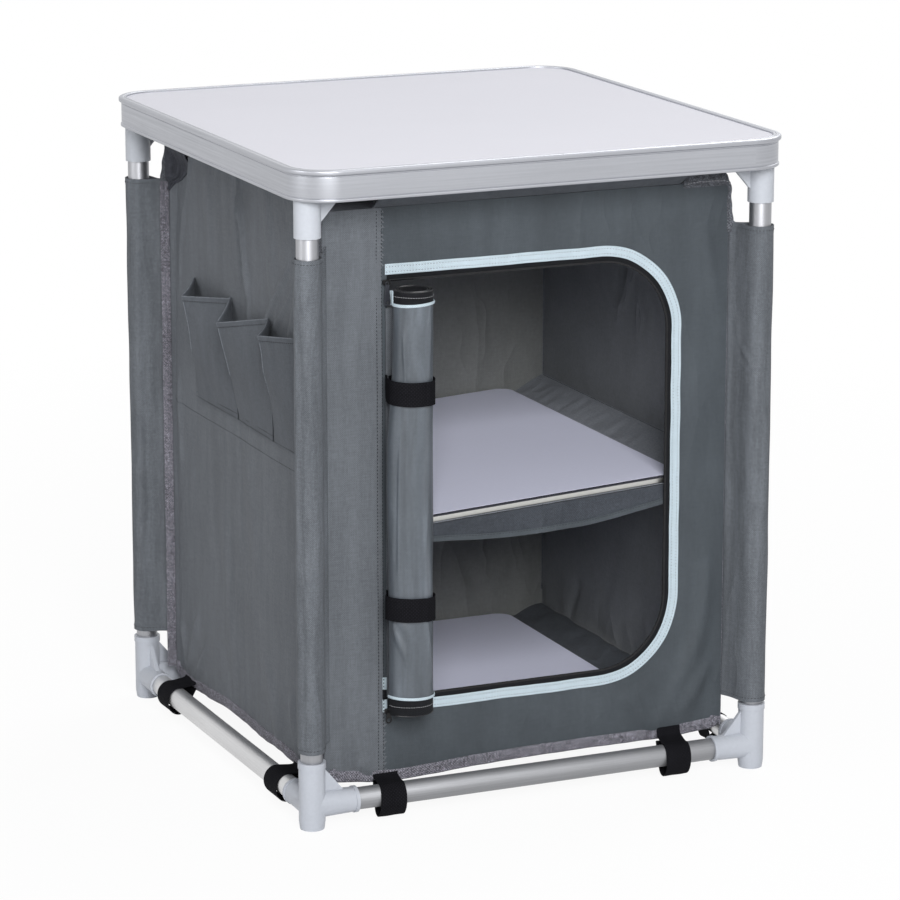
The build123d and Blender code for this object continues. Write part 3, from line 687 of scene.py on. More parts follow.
plasticLooks = {
    "darkThread": dict(colour=(34, 36, 40)),
    "paleThread": dict(colour=(176, 176, 180), mottle=0.05, rough=0.6),
    "mauveThread": dict(colour=(116, 114, 123)),
    "pullBlack": dict(colour=(17, 17, 19), rough=0.33, bump=0.05, gloss=0.35),
    "pullGrey": dict(colour=(48, 50, 56), rough=0.3, bump=0.05, gloss=0.6),
    "zipNylon": dict(colour=(26, 26, 29), rough=0.2, bump=0.1, gloss=0.7),
    "socketPlastic": dict(colour=(174, 178, 185), mottle=0.02, rough=0.45, bump=0.05, gloss=0.35),
    "cornerPlastic": dict(colour=(170, 174, 182), mottle=0.02, rough=0.42, bump=0.05, gloss=0.35),
    "boardCore": dict(colour=(44, 44, 52), mottle=0.2, rough=0.8, bump=0.4, gloss=0.2),
}
metalLook = dict(streak=0.02, contrast=0.10, rough=0.45, bump=0.10, mottle=0.05)
metalLooks = {
    "rimAluminium": dict(colour=(176, 178, 184), streak=0.012, contrast=0.14, rough=0.40, bump=0.12),
    # the rails are the tube metal in lit and shaded copies: a darker one on the front and rear rails is painted shade,
    # a lighter one on the side rails is a painted reflection of the bright backdrop
    "railAluminium": dict(colour=(150, 151, 154), rough=0.60),
    "tubeAluminium": dict(colour=(164, 165, 169)),
    "sideRailAluminium": dict(colour=(206, 206, 207), rough=0.42),
    "edgingAluminium": dict(colour=(190, 190, 187), streak=0.012, contrast=0.06, rough=0.38, bump=0.05),
    "screwSteel": dict(colour=(190, 190, 192), streak=0.3, contrast=0.2, rough=0.3),
}
laminateLook = dict(mottle=0.015, speck=0.10, bump=0.05)
laminateLooks = {
    "worktopLaminate": dict(colour=(221, 221, 229), speckColour=(190, 190, 205), rough=0.55, gloss=0.2),
    "shelfLaminate": dict(colour=(230, 232, 252), speckColour=(200, 200, 215), rough=0.42, gloss=0.35),
}
for make, base, looks in (
    (clothMaterial, clothLook, clothLooks), (plasticMaterial, plasticLook, plasticLooks),
    (metalMaterial, metalLook, metalLooks), (laminateMaterial, laminateLook, laminateLooks),
):
    for name, change in looks.items():
        make(name, {**base, **change})
print("materials made:", len(bpy.data.materials))


# ---- worktop: a swept aluminium rim round a laminate board
rim = {
    "lipOut": 3.0, "wall": 1.8, "corner": 50.0, "bead": 3.6, "ledge": 3.0, "ledgeDrop": 1.6, "inlay": 9.1, "face": 0.9,
    "boardCorner": 44.9,
}


def makeWorktop():
    # the rim's section, listed as place out, height and corner radius, goes round the board
    low, high = boxOf("worktop_rim")
    boardLow, boardHigh = boxOf("worktop_panel")
    top, bottom, board, under = high[2], low[2], boardHigh[2], boardLow[2]
    skirt = -rim["lipOut"]
    inner = skirt - rim["wall"]
    ledge, drop, bead = inner - rim["ledge"], under - rim["ledgeDrop"], bottom + rim["bead"]
    section = np.array([
        (-9, board - 0.5, 0), (-9, top - 0.1, 0.5), (-7, top - 0.1, 0.5), (-6.4, top - 0.7, 0.5),
        (-5.4, top - 0.1, 0.6), (-2, top, 1.5), (0, top - 1, 1.8), (0, top - 5.4, 1.5), (skirt - 0.5, top - 6.6, 0.5),
        (skirt - 0.5, top - 7.6, 0.4), (skirt, top - 8.2, 0.5), (skirt, bead + 1, 0.4), (skirt - 0.4, bead + 0.5, 0.3),
        (skirt + 1, bead - 0.4, 1.0), (skirt + 1, bottom, 1.2), (inner, bottom, 0.6), (inner, drop, 0.3),
        (ledge, drop, 0.3), (ledge, under, 0.3), (inner, under, 0.2), (inner, board - 0.5, 0.2),
    ])
    path, out = roundedRectangle(*(high - low)[:2], rim["corner"], 22, 8)
    path = path + [*((low + high) / 2)[:2], 0]
    shape = sweepShape(path, out, (0, 0, 1), rounded(section[:, :2], section[:, 2], 5), True)
    addPiece("worktopRim", shape, "rimAluminium", ["worktop_rim"], "worktop", "rim_aluminium", 30)
    inlay = rim["inlay"]
    slab = [
        slabShape(*(boardHigh - boardLow)[:2], rim["boardCorner"], under, board - 0.5, 0.3),
        slabShape(*(high - low)[:2] - 2 * inlay, rim["corner"] - inlay, board - rim["face"], board, 0.2),
    ]
    addPiece("worktopBoard", slab, "worktopLaminate", ["worktop_panel"], "worktop", "worktop_laminate", 8)


makeWorktop()


# ---- tube frame, sockets and moulded corners
tube = {"radius": 12.5, "wall": 1.2, "ease": 0.25}
slim = {"body": 1.2, "foot": 0.8, "arm": 1.2}


def tubeShape(centre, axis, start, end):
    # the wall's section, radius and height, turned about the axis
    r, w = tube["radius"], tube["wall"]
    section = rounded([(r, start), (r, end), (r - w, end), (r - w, start)], tube["ease"])[:, None]
    a = np.cross(axis, (1, 0, 0) if axis[2] else (0, 0, 1))
    turn = circle(np.linspace(0, fullTurn, 64, endpoint=False))
    ring = turn[:, :1] * a + turn[:, 1:] * np.cross(axis, a)
    return gridShape(centre + section[..., :1] * ring + section[..., 1:] * np.array(axis), True, True)


def slimmed(place):
    # the round outsides of a moulding move in towards the leg's axis, and those of its arms towards theirs
    x, y, _ = legAt[place]
    height = railAt["front"][2]

    def change(points):
        # each point on a round outside moves in by its part's share
        out = points.copy()
        away = points[:, :2] - [x, y]
        far = np.linalg.norm(away, axis=1)
        onBody = (far > 15.2) & (far < 17.0)
        onFoot = (points[:, 2] < 9) & (far > 13.2) & (far < 15.2)
        for part, inwards in ((onBody, slim["body"]), (onFoot, slim["foot"])):
            out[part, :2] -= away[part] / far[part, None] * inwards
        for k in (0, 1):
            square = points[:, [1 - k, 2]] - [(y, x)[k], height]
            reach = np.linalg.norm(square, axis=1)
            onArm = (np.abs(points[:, k] - (x, y)[k]) > 17) & (reach > 14.6) & (reach < 16.6) & ~onBody
            out[np.ix_(onArm, [1 - k, 2])] -= square[onArm] / reach[onArm, None] * slim["arm"]
        return out

    return change


def makeFrame():
    # a tube for each leg and rail, between copies of the CAD mouldings
    for place in corners:
        low, high = boxOf("leg_" + place)
        shape = tubeShape((*legAt[place][:2], 0), (0, 0, 1), low[2], high[2])
        addPiece("legTube_" + place, shape, "tubeAluminium", ["leg_" + place], "root", "tube_aluminium", 30)
        for name, node, bodyName, kind in (
            ("legSocket_", "upper_socket_", "worktop", "socket"), ("footCorner_", "lower_corner_", "root", "corner"),
        ):
            change = slimmed(place)
            addFromFrame(name + place, node + place, kind + "Plastic", bodyName, 0.7, change)
    for side, (ox, _) in outwards.items():
        low, high = boxOf(side + "_rail")
        k = 1 if ox else 0
        centre = railAt[side].copy()
        centre[k] = 0
        shape = tubeShape(centre, (1 - k, k, 0), low[k], high[k])
        # the side rails' lighter metal is a painted reflection, the front and rear rails' darker metal painted shade
        metal = "sideRailAluminium" if ox else "railAluminium"
        addPiece("railTube_" + side, shape, metal, [side + "_rail"], "root", "tube_aluminium", 30)
    addFromFrame("socketScrews", "socket_screws", "screwSteel", "worktop", 0.2)


makeFrame()
print("frame and worktop made")


# ---- cloth walls
# heights of the hem along each wall, seen from outside with the distance running to the right
hems = {
    "front": [
        (-247, 42), (-232, 40), (-189, 35), (-153, 33), (-60, 38), (60, 40), (144, 40), (177, 39), (227, 42.5),
        (247, 44),
    ],
    "left": [
        (-243, 41), (-232, 34), (-174, 34), (-130, 38), (-60, 42), (30, 40), (120, 42), (160, 38), (190, 37), (243, 41),
    ],
    "right": [(-243, 42), (-215, 38), (-174, 35), (-120, 40), (0, 41), (120, 41), (174, 36), (243, 43)],
    "rear": [(-247, 42), (-177, 35), (-110, 41), (0, 40), (110, 41), (177, 35), (247, 42)],
}
# each fold: start and end as distance and height, width, height of the ridge
wallFolds = {
    "front": [
        ((-178.5, -120), (-178.5, 820), 3.6, 0.9), ((-187, 640), (-188, 60), 3.0, -0.7),
        ((-232, 150), (-226, 60), 7, 1.6), ((-205, 60), (-188, 40), 6, 2.2), ((-222, 95), (-196, 48), 6, 1.5),
        ((232, 250), (205, 70), 12, 3.0), ((215, 160), (170, 55), 9, 3.0), ((120, 100), (165, 48), 8, 2.2),
        ((238, 130), (190, 60), 8, 2.6), ((210, 640), (240, 540), 12, 2.4), ((-228, 640), (-236, 480), 9, 1.2),
        ((-10, 100), (60, 55), 12, 0.9), ((-140, 95), (-90, 60), 12, 1.0),
    ],
    "left": [
        ((2, 700), (13, 636), 4, 3.0), ((9, 662), (25, 556), 4.2, 2.6), ((25, 590), (30, 400), 5, 1.4),
        ((-9, 690), (4, 560), 7, -2.0), ((-12, 700), (-4, 640), 4, 1.6), ((158, 612), (70, 515), 5, 2.4),
        ((172, 590), (100, 520), 4, 1.6), ((205, 650), (150, 500), 7, 1.8), ((-100, 690), (-90, 560), 16, 1.6),
        ((90, 690), (110, 560), 14, 1.8), ((200, 560), (120, 470), 10, 1.6), ((-210, 420), (-205, 300), 8, 1.4),
        ((-150, 130), (-188, 52), 8, 3.0), ((-120, 100), (-165, 48), 7, 2.2), ((-215, 110), (-190, 50), 7, 2.4),
        ((150, 120), (172, 50), 10, 2.4), ((190, 140), (178, 60), 9, 2.0), ((60, 150), (120, 50), 14, 1.6),
        ((-60, 280), (-30, 80), 16, 1.4), ((20, 360), (60, 200), 18, 1.2),
    ],
    "right": [
        ((0, 690), (-3, 520), 8, 1.0), ((-170, 680), (-185, 560), 9, 1.4), ((180, 690), (195, 580), 9, 1.6),
        ((140, 120), (176, 52), 10, 2.2), ((-150, 120), (-172, 52), 9, 2.0), ((40, 170), (100, 60), 16, 1.2),
    ],
    "rear": [
        ((0, 690), (2, 500), 6, 2.2), ((200, 690), (214, 570), 9, 2.4), ((-195, 690), (-210, 560), 8, 2.2),
        ((-140, 130), (-175, 52), 10, 2.2), ((150, 120), (176, 52), 9, 2.0), ((-20, 200), (60, 60), 18, 1.2),
    ],
}
# where the left wall's upper rear corner folds back: height and distance along
backFold = [(500, -212), (540, -207), (590, -194), (628, -178), (653, -167), (690, -156)]
door = {
    "left": -172.5, "right": 189.0, "top": 621.0, "bottom": 112.0, "radius": 100.0,
    "holeInset": 7.0, "pipingInset": 5.6, "tapeInset": 12.5, "pipingWidth": 12.0, "tapeWidth": 12.8,
    "edgeCounts": (70, 44, 60, 44, 70, 90),
}


def wallHalf(side):
    # half a wall's width: the side walls fit between the front and the rear one
    return body["halfY"] - body["cloth"] if outwards[side][0] else body["halfX"]


def hemHeight(side, a, half):
    # the listed heights joined by smooth curves, rounded up at both ends
    fine = np.linspace(-half, half, 400)
    z = np.interp(a, fine, softened(np.interp(fine, *np.array(hems[side], float).T), 15))
    r = body["cornerRadius"]
    into = np.clip(np.abs(a) - (half - r), 0, r)
    return z + r - np.sqrt(r * r - into * into)


def wallPlace(side, a, z, n):
    # a point a to the right along the wall seen from outside, at height z and n outwards
    ox, oy = outwards[side]
    reach = body["halfX"] if ox else body["halfY"]
    return np.stack([(-oy) * a + ox * (reach + n), ox * a + oy * (reach + n), z + 0 * a], -1)


def wallOffset(side, a, z):
    # how far the cloth stands out: a hanging bulge, folds and small ripples, all fading out at the side edges
    half = wallHalf(side)
    total = np.zeros(np.broadcast(a, z).shape)
    if side != "front":
        t = np.clip((half - 20 - np.abs(a)) / (half - 20), 0, 1)
        total = 9.6 * t * (1 - t) + t * t
    total = total + creases(a, z, wallFolds[side], 2.0 if side == "left" else 1.5)
    if side == "left":
        # the upper rear corner hangs back behind a curved fold
        line = np.interp(z, *np.transpose(backFold))
        back = (1 - smooth(a - line, -9, 5)) * smooth(z, 500, 690)
        total = total + back * (1.6 * ripples(a, z * 0.7, 26.0, 7) - 8.5)
        total = total + 3.4 * bell(a, line + 6, 4.0) * smooth(z, 480, 600)
        # the cloth is pulled in beside the bound seam
        pull = 6.5 * bell(a, 13.0 - half, 7.0) * (0.35 + 0.65 * smooth(z, 380, 560))
    seed = list(outwards).index(side)
    total = total + 0.9 * ripples(a, z, 210.0, 11 + seed) + 0.35 * ripples(a, z, 60.0, 21 + seed)
    total = total + bell(z, 45, 40.0) * 0.9 * ripples(a, z * 0.4, 45.0, 31 + seed)
    return (total - (pull if side == "left" else 0)) * smooth(half - np.abs(a), 0, 26)


def wallShape(side):
    # the wall's grid runs from the hem to the top, closer at the side edges
    half = wallHalf(side)
    a = np.linspace(-1, 1, 200 if side == "left" else 120)
    a = half * np.sign(a) * (1 - (1 - np.abs(a)) ** 1.06)
    a, v = grid(a, np.linspace(0, 1, 170))
    z = between(hemHeight(side, a, half), body["top"], v)
    points = wallPlace(side, a, z, wallOffset(side, a, z))
    return shellShape(points, body["cloth"] * 0.9, uv=np.stack([a * mm, z * mm], -1))


def doorLine(inset, left):
    # the opening's outline from its low left corner to the right: straight, quarter circle, straight and so on
    right, top, bottom = door["right"] - inset, door["top"] - inset, door["bottom"] + inset
    r, counts = door["radius"] - inset, door["edgeCounts"]

    def straight(k, *ends):
        # even steps between two ends
        t = np.linspace(0, 1, counts[k], endpoint=False)[:, None]
        return between(*np.array(ends), t)

    def bend(k, z, first):
        # a quarter circle about the corner's middle
        return np.array([right - r, z]) + r * circle(first + np.linspace(0, math.pi / 2, counts[k], endpoint=False))

    return [
        straight(0, (left, bottom), (right - r, bottom)), bend(1, bottom + r, -math.pi / 2),
        straight(2, (right, bottom + r), (right, top - r)), bend(3, top - r, 0),
        straight(4, (right - r, top), (left, top)), straight(5, (left, top), (left, bottom)),
    ]


def frontWallShape():
    # a ring of cloth: the inner edge follows the door opening, the outer edge the hem, sides and top
    half, top = body["halfX"], body["top"]
    hole = doorLine(door["holeInset"], door["left"] + 2.4)
    split = door["right"] - door["radius"]
    upLow, upHigh = door["bottom"] + door["radius"], door["top"] - door["radius"]
    x = np.linspace(-half, half, 400)
    hemLine = np.stack([x, hemHeight("front", x, half)], 1)
    turnAt = -half + body["cornerRadius"] * 0.3
    topRight = rounded([(half, upHigh), (half, top), (split, top)], 12, 6, False)
    topLeft = rounded([(split, top), (-half, top), (-half, upLow)], 12, 6, False)
    turnK = int(np.argmin(np.abs(topLeft - [3.5 - half, top - 3.5]).sum(1)))
    sides = [
        hemLine[(x > turnAt) & (x <= split)], np.concatenate([hemLine[x > split], [[half, upLow]]]),
        np.array([[half, upLow], [half, upHigh]]), topRight, topLeft[: turnK + 1],
        np.concatenate([topLeft[turnK:], hemLine[x <= turnAt]]),
    ]
    outer = [
        resampled(np.concatenate([side, sides[(k + 1) % 6][:1]]), len(hole[k]) + 1)[:-1] for k, side in enumerate(sides)
    ]
    inner, outer = np.concatenate(hole)[:, None], np.concatenate(outer)[:, None]
    flat = between(inner, outer, np.linspace(0, 1, 26)[None, :, None])
    a, z = flat[..., 0], flat[..., 1]
    near = smooth(np.linalg.norm(flat - inner, axis=2), 8, 30)
    points = wallPlace("front", a, z, wallOffset("front", a, z) * near)
    shape = shellShape(points, -body["cloth"] * 0.9, True, False, looped(flat * mm))
    middle = shape["points"][shape["faces"]].mean(1)
    # right of the seam beside the door the panel is of another cloth
    shape["kind"][(shape["kind"] == 0) & (middle[:, 0] > -174.8)] = 2
    return shape


def makeWalls():
    # the front wall round the door opening, and the three plain ones
    height, width = body["top"] - body["low"], 2 * body["halfX"]
    area = width * height - (door["right"] - door["left"]) * (door["top"] - door["bottom"]) * 0.95
    cloths = ["greyCanvas", "coatedLining", "panelCanvas"]
    addSheet("frontCloth", frontWallShape(), cloths, "front_wall", (width, height), ["topBand_front"], area=area)
    for side in ("left", "right", "rear"):
        # the rear wall's inside is painted shade: a darker copy of the lining
        cloths = ["greyCanvas", "rearLining" if side == "rear" else "coatedLining"]
        flat = (2 * wallHalf(side), height)
        addSheet(side + "Cloth", wallShape(side), cloths, side + "_wall", flat, ["topBand_" + side])


makeWalls()


# ---- the mauve binding folded over the hem, and the one down each side seam
hem = {"height": 12.0, "thick": 1.2, "below": 1.2, "seamWidth": 11.0, "narrowSeam": 2.4}
sleeve = {
    "radius": 15.5, "cloth": 1.3, "hemBand": 8.0,
    "sag": {"front_left": 5.6, "front_right": 1.2, "rear_left": 5.6, "rear_right": 5.0},
    "low": {"front_left": 88.5, "front_right": 81.0, "rear_left": 86.0, "rear_right": 84.0},
    "high": {"front_left": 640.5, "front_right": 636.5, "rear_left": 642.5, "rear_right": 638.0},
    # where each tunnel is sewn down: x on the front or rear wall, y on the side wall
    "seams": {
        "front_left": (-241.0, -239.0), "front_right": (249.0, -240.0), "rear_left": (-241.0, 237.5),
        "rear_right": (242.0, 238.0),
    },
}


def makeBindings():
    # a folded band along each wall's hem, and a flat one that stands out from each side wall beside the leg's tunnel
    stitches, shapes, seams = [], [], []
    tall, thick, low, back = hem["height"], hem["thick"], -hem["below"], -body["cloth"] - 0.3
    outer, inner = [(thick * 0.7, tall), (thick, tall - 2), (thick, 0.5)], [(back - 0.5, 0.5), (back - 0.4, tall)]
    fold = rounded(outer + [(0.2, low), (back, low)] + inner, [0.3, 0.8, 0.9, 0.9, 0.9, 0.9, 0.3])
    for side, (ox, oy) in outwards.items():
        a = (wallHalf(side) - 0.4) * np.sin(np.linspace(-math.pi / 2, math.pi / 2, 240))
        z = hemHeight(side, a, wallHalf(side))
        path = wallPlace(side, a, z, wallOffset(side, a, z + 4))
        out = np.array([ox, oy, 0])
        up = lineNormals(path, out)
        up *= np.sign(up[:, 2:3] + 1e-6)
        shapes.append(sweepShape(path, out, up, fold))
        for level in (tall - 2.2, 3.4):
            stitches.append(stitchShape(path + up * level + out * thick, out, slant=24))
    addPiece("hemBinding", shapes, "hemBinding")
    for side in ("left", "right"):
        ox = outwards[side][0]
        for end in (-1, 1):
            place = ("front_" if end < 0 else "rear_") + side
            z = np.linspace(44, sleeve["high"][place] - 1, 190)
            sway = 0.9 * np.sin(z / 41.0) + 0.4 * np.sin(z / 13.0 + end)
            path = np.column_stack([0 * z + ox * body["halfX"], sleeve["seams"][place][1] + 0.3 * sway, z])
            across = unit(np.column_stack([0 * z + ox, end * (0.16 + 0.06 * sway), 0 * z]))
            facing = np.cross(across, [0, 0, 1.0])
            facing *= np.sign(facing[:, 1:2] * -end)
            wide = place != "front_right"
            w = hem["seamWidth"] if wide else hem["narrowSeam"]
            band = rounded([(0, -0.8), (w - 0.8, -1.0), (w, 0), (w - 0.8, 1.0), (0, 0.8)], [0.2, 0.7, 0.9, 0.7, 0.2])
            seams.append(sweepShape(path, across, facing, band))
            for k in (w - 3.6, w - 7.4) if wide else ():
                stitches.append(stitchShape(path + across * k + facing, facing, slant=-35))
    addPiece("seamBinding", seams, "hemBinding")
    addStitches("bindingStitches", stitches, "mauveThread")
    # the double row down the front beside the door
    z = np.linspace(46, 682, 200)
    rows = [wallPlace("front", x + 0 * z, z, wallOffset("front", x + 0 * z, z)) for x in (-182.0, -176.2)]
    addStitches("doorSeamStitches", [stitchShape(row, (0, -1, 0), length=2.1, gap=1.9, width=1.0) for row in rows])


makeBindings()
print("walls and bindings made")


# ---- slanted bands that hang the cupboard from the underside of the worktop
def makeTopBands():
    # a straight slope with a wave that fades out at both edges
    for k, (side, (ox, _)) in enumerate(outwards.items()):
        low, high = boxOf("top_flap_" + side)
        size = high - low
        half, rise, out = size[1 if ox else 0] / 2, size[2] - 1.4, size[0 if ox else 1] - 1.0
        s, t = grid(np.linspace(-half, half, 90), np.linspace(0, 1, 16))
        wave = np.sin(math.pi * t) * (0.9 * ripples(s, t * 40, 90, 41 + k) - 0.6)
        shape = shellShape(wallPlace(side, s, low[2] + 0.2 + rise * t + wave, out * t - wave * 0.6), 1.3)
        flat = (2 * half, math.hypot(out, rise))
        addSheet("topBand_" + side, shape, "pocketCanvas", "top_flap_" + side, flat, ["worktopBoard"])


makeTopBands()


# ---- cloth tunnels round the legs
# folds in each tunnel: distance round the leg from the body's corner, and height
sleeveFolds = {
    "front_left": [
        ((45, 620), (45.5, 90), 5.0, -1.1), ((36, 630), (37, 100), 3.5, 0.6), ((-43, 640), (-41, 60), 4.0, 0.7),
        ((-26, 640), (-27, 60), 7, -1.3),
    ],
    "front_right": [
        ((1, 548), (5, 496), 1.6, 2.4), ((4, 499), (29, 472), 2.2, 2.2), ((1, 480), (28, 468), 2.4, 1.8),
        ((24, 620), (26, 140), 5.0, 0.3), ((38, 630), (36, 100), 6.0, -0.3), ((30, 320), (16, 240), 4.0, 0.8),
    ],
    "rear_left": [
        ((-22, 640), (-21, 90), 4.5, 0.9), ((-12, 630), (-13, 100), 4.0, -1.0), ((-34, 600), (-32, 120), 5.0, -0.7),
    ],
    "rear_right": [((20, 620), (24, 140), 4.5, 0.8), ((-24, 600), (-20, 160), 4.5, 0.8)],
}


def sleeveOutline(place):
    # round the tube, then along the flank that leaves the circle where it is tangent to each seam
    (sx, sy), (x, y, _), r = corners[place], legAt[place], sleeve["radius"]
    seamX, seamY = sleeve["seams"][place]
    ends = np.array([[seamX, sy * (body["halfY"] + 0.9)], [sx * (body["halfX"] + 0.9), seamY]]) - [x, y]
    heading = np.arctan2(ends[:, 1], ends[:, 0])
    opening = np.arccos(r / np.linalg.norm(ends, axis=1))
    sign = 1 if math.remainder(heading[1] - heading[0], fullTurn) > 0 else -1
    first, last = heading[1] + sign * opening[1], heading[0] - sign * opening[0]
    sweep = math.remainder(last - first, fullTurn)
    sweep += fullTurn * sign if sweep * sign < 0 else 0
    line = resampled(np.concatenate([r * circle(first + np.linspace(0, 1, 46) * sweep), ends]), 96, True)
    return line[::sign], ends


def makeSleeves():
    # the outline stands up the leg, grows by folds and ripples near the tube and sags inwards along the flanks
    rows = []
    r, band = sleeve["radius"], sleeve["hemBand"]
    for seed, place in enumerate(corners, 51):
        low, high = sleeve["low"][place], sleeve["high"][place]
        line, ends = sleeveOutline(place)
        away = np.linalg.norm(line, axis=1)
        radial = line / away[:, None]
        reach = np.linalg.norm(ends, axis=1).min()
        theta = np.arctan2(line[:, 1], line[:, 0]) - math.atan2(ends[:, 1].sum(), ends[:, 0].sum())
        z, theta = grid(np.linspace(low, high, 120), (theta + math.pi) % fullTurn - math.pi)
        grow = 0.35 * ripples(theta * 9, z * 0.35, 30, seed) + 0.4 * ripples(theta * 6, z, 160, seed + 5)
        grow = grow + creases(theta * r, z, sleeveFolds[place])
        neck = 1 - smooth(away, r + 1, reach - 2 if place == "front_right" else r + 9)
        edges = smooth(z, high - band - 0.6, high - band) + 1 - smooth(z, low + band, low + band + 0.6)
        grow = grow * neck + 0.45 * edges
        step = np.roll(line, -1, 0) - np.roll(line, 1, 0)
        square = unit(step[:, ::-1] * [1, -1])
        square *= np.sign((square * line).sum(1).mean())
        sag = sleeve["sag"][place] + 0.9 * ripples(theta * 3, z, 130, seed + 9)
        slack = np.sin(math.pi * np.clip((away - r) / (reach - r), 0, 1)) * sag
        flat = legAt[place][:2] + line + radial * grow[..., None] - square * slack[..., None]
        lift = 6 * smooth(away, reach - 6, reach + 1) ** 2 * smooth(z, 560, high)
        points = np.concatenate([flat, (z + lift)[..., None]], -1)
        size = (runOf(looped(line))[-1], high - low)
        shape = shellShape(points, -sleeve["cloth"], False, True)
        addSheet("legSleeve_" + place, shape, "sleeveCanvas", "leg_sleeve_" + place, size, ["leg_" + place])
        for height in (high - band + 1.5, low + band - 1.5):
            k = int(np.argmin(np.abs(z[:, 0] - height)))
            rows.append(stitchShape(points[k], np.column_stack([radial, 0 * away]), True, lift=0.15))
    addStitches("sleeveStitches", rows)


makeSleeves()


# ---- small folds of cloth at the body's upper corners
fin = {"front_left": 3.4, "front_right": 3.4, "rear_left": 6.6, "rear_right": 4.0}
# the turned-up edge: its top at places along the wall; the gusset: how far back it reaches at each height
turnUp = {
    "x": (189, 198, 210, 234, 240, 244.5, 247.6), "top": (687.5, 696, 697, 696.5, 694.5, 690.5, 682), "low": 679,
}
gusset = {"height": (628, 640, 648, 656, 668, 690), "reach": (241.0, 229.0, 204.0, 190.0, 182.0, 168.0)}


def makeFins():
    # the corner seam above each tunnel: a narrow wavy fin of folded cloth
    shapes = []
    for place, (sx, sy) in corners.items():
        z = np.linspace(626, body["top"] - 1.5, 70)
        wide = fin[place] * (1 - smooth(z, 650, 686)) + 1.4 + 0.7 * np.sin(z / 5.3) + 0.5 * np.sin(z / 2.9 + sx)
        ring = circle(np.linspace(0, fullTurn, 14, endpoint=False))
        reach = (ring[:, 0] * 0.5 + 0.5) * (wide[:, None] + 3)
        across = ring[:, 1] * 1.5 + (0.8 * np.sin(z / 7.0 + sy) * np.linspace(0, 1, 70))[:, None]
        base = np.array([sx * (body["halfX"] - 2.0), sy * (body["halfY"] - 2.0)])
        flat = base + (reach[..., None] * [sx, sy] + across[..., None] * [-sy, sx]) / math.sqrt(2)
        points = np.concatenate([flat, np.broadcast_to(z[:, None, None], (70, 14, 1))], -1)
        shapes.append(capped(gridShape(points, False, True), 14))
    addPiece("cornerFins", shapes, "frayedCloth", sharpAngle=60)


def makeTurnUp():
    # at the front right corner the cloth is turned up above the seam and rounds over
    x = np.concatenate([np.linspace(189, 236, 50), np.linspace(236, 247.6, 24)[1:]])
    crown = np.interp(x, turnUp["x"], turnUp["top"]) + 0.7 * np.sin(x / 2.7) - turnUp["low"]
    x, t = grid(x, np.linspace(0, 1, 18))
    z = turnUp["low"] + crown[:, None] * t
    n = 0.9 + 1.2 * np.sin(math.pi * t) * (1 + 0.5 * ripples(x, z, 11, 133)) + 0.6 * t
    points = wallPlace("front", x, z, n)
    addPiece("cornerTurnUp", shellShape(points, 1.0), "frayedCloth", sharpAngle=60)
    addStitches("turnUpStitches", stitchShape(points[4:, 6] - [0, 0.6, 0], (0, -1, 0), width=0.7), "paleThread")


def makeGusset():
    # behind the rear left seam the corner piece is turned back over the side wall in small upright wrinkles
    z, t = grid(np.linspace(628, body["top"] + 4.0, 70), np.linspace(0, 1, 50))
    last = np.interp(z, gusset["height"], gusset["reach"])
    y = between(body["halfY"] - 1.0, last, t) + 1.5 * np.sin(z / 6.0) * t
    wrinkles = 2.2 * ripples(t * 40, z * 0.25, 14, 131) * np.sin(math.pi * t)
    out = wallOffset("left", -y, z) + 1.6 + wrinkles - 1.4 * t - 1.2 * smooth(650 - z, 0, 22)
    points = wallPlace("left", -y, z, between(out, 2.0, smooth(z, 666, 684)))
    # its dark cloth stands in for the shade in this fold: painted shade
    addPiece("cornerGusset", shellShape(points, 1.0), "gussetCloth", sharpAngle=60)


makeTurnUp()
makeGusset()
makeFins()
print("bands and sleeves made")


# ---- door edge: pale binding, zip tape and coil
def doorPath(inset, left):
    # the opening's outline without its left side, on the front wall's face
    line = np.concatenate(doorLine(inset, left)[:-1] + [[[left, door["top"] - inset]]])
    return wallPlace("front", line[:, 0], line[:, 1], 0)


def makeDoorEdge():
    # flat bands swept round the opening, with thread on the binding and teeth along the tape's inner edge
    out = np.array([0, -1.0, 0])
    w = door["pipingWidth"] / 2
    path = doorPath(door["pipingInset"], door["left"] + 0.2)[3:]
    path[0, 0] = max(path[0, 0], door["left"] + 8)
    across = lineNormals(path, out)
    path = path + across * 0.35 * ripples(path[:, 0], path[:, 2], 70, 61)[:, None]
    left = [(-w, 0.1), (-w, 0.9), (1.2 - w, 1.45), (2.6 - w, 0.95)]
    right = [(w - 2.4, 0.95), (w - 1.2, 1.35), (w, 0.9), (w, 0.1)]
    section = rounded(left + [(0, 1.1)] + right, [0.2, 0.5, 0.7, 0.5, 1, 0.5, 0.7, 0.5, 0.2])
    shape = sweepShape(path, across, out, section)
    addPiece("doorPiping", shape, "paleBinding", ["door_piping"], slotName="pale_binding")
    look = {"length": 1.5, "gap": 2.0, "width": 0.75, "lift": 0.05}
    rows = [stitchShape(path + across * k + out * 1.02, out, **look) for k in (3.2 - w, w - 3.2)]
    addStitches("pipingStitches", rows, "mauveThread")
    half = door["tapeWidth"] / 2
    path = doorPath(door["tapeInset"], door["left"] + 2.4)
    across = lineNormals(path, out)
    tape = sweepShape(path, across, out, rounded([(-half, -1.1), (-half, 0.1), (half, 0.1), (half, -1.1)], 0.25, 2))
    addPiece("zipTape", tape, "zipTape", ["door_zip_tape"], slotName="zip_tape")
    line = path + across * np.sign(across[0, 2]) * (half - 1.2) + out * 0.45
    teeth = stitchShape(line, out, length=3.0, gap=-1.75, width=0.9, lift=0.1, slant=86)
    addPiece("zipCoil", teeth, "zipNylon", slotName="zip_tape", sharpAngle=40)


makeDoorEdge()


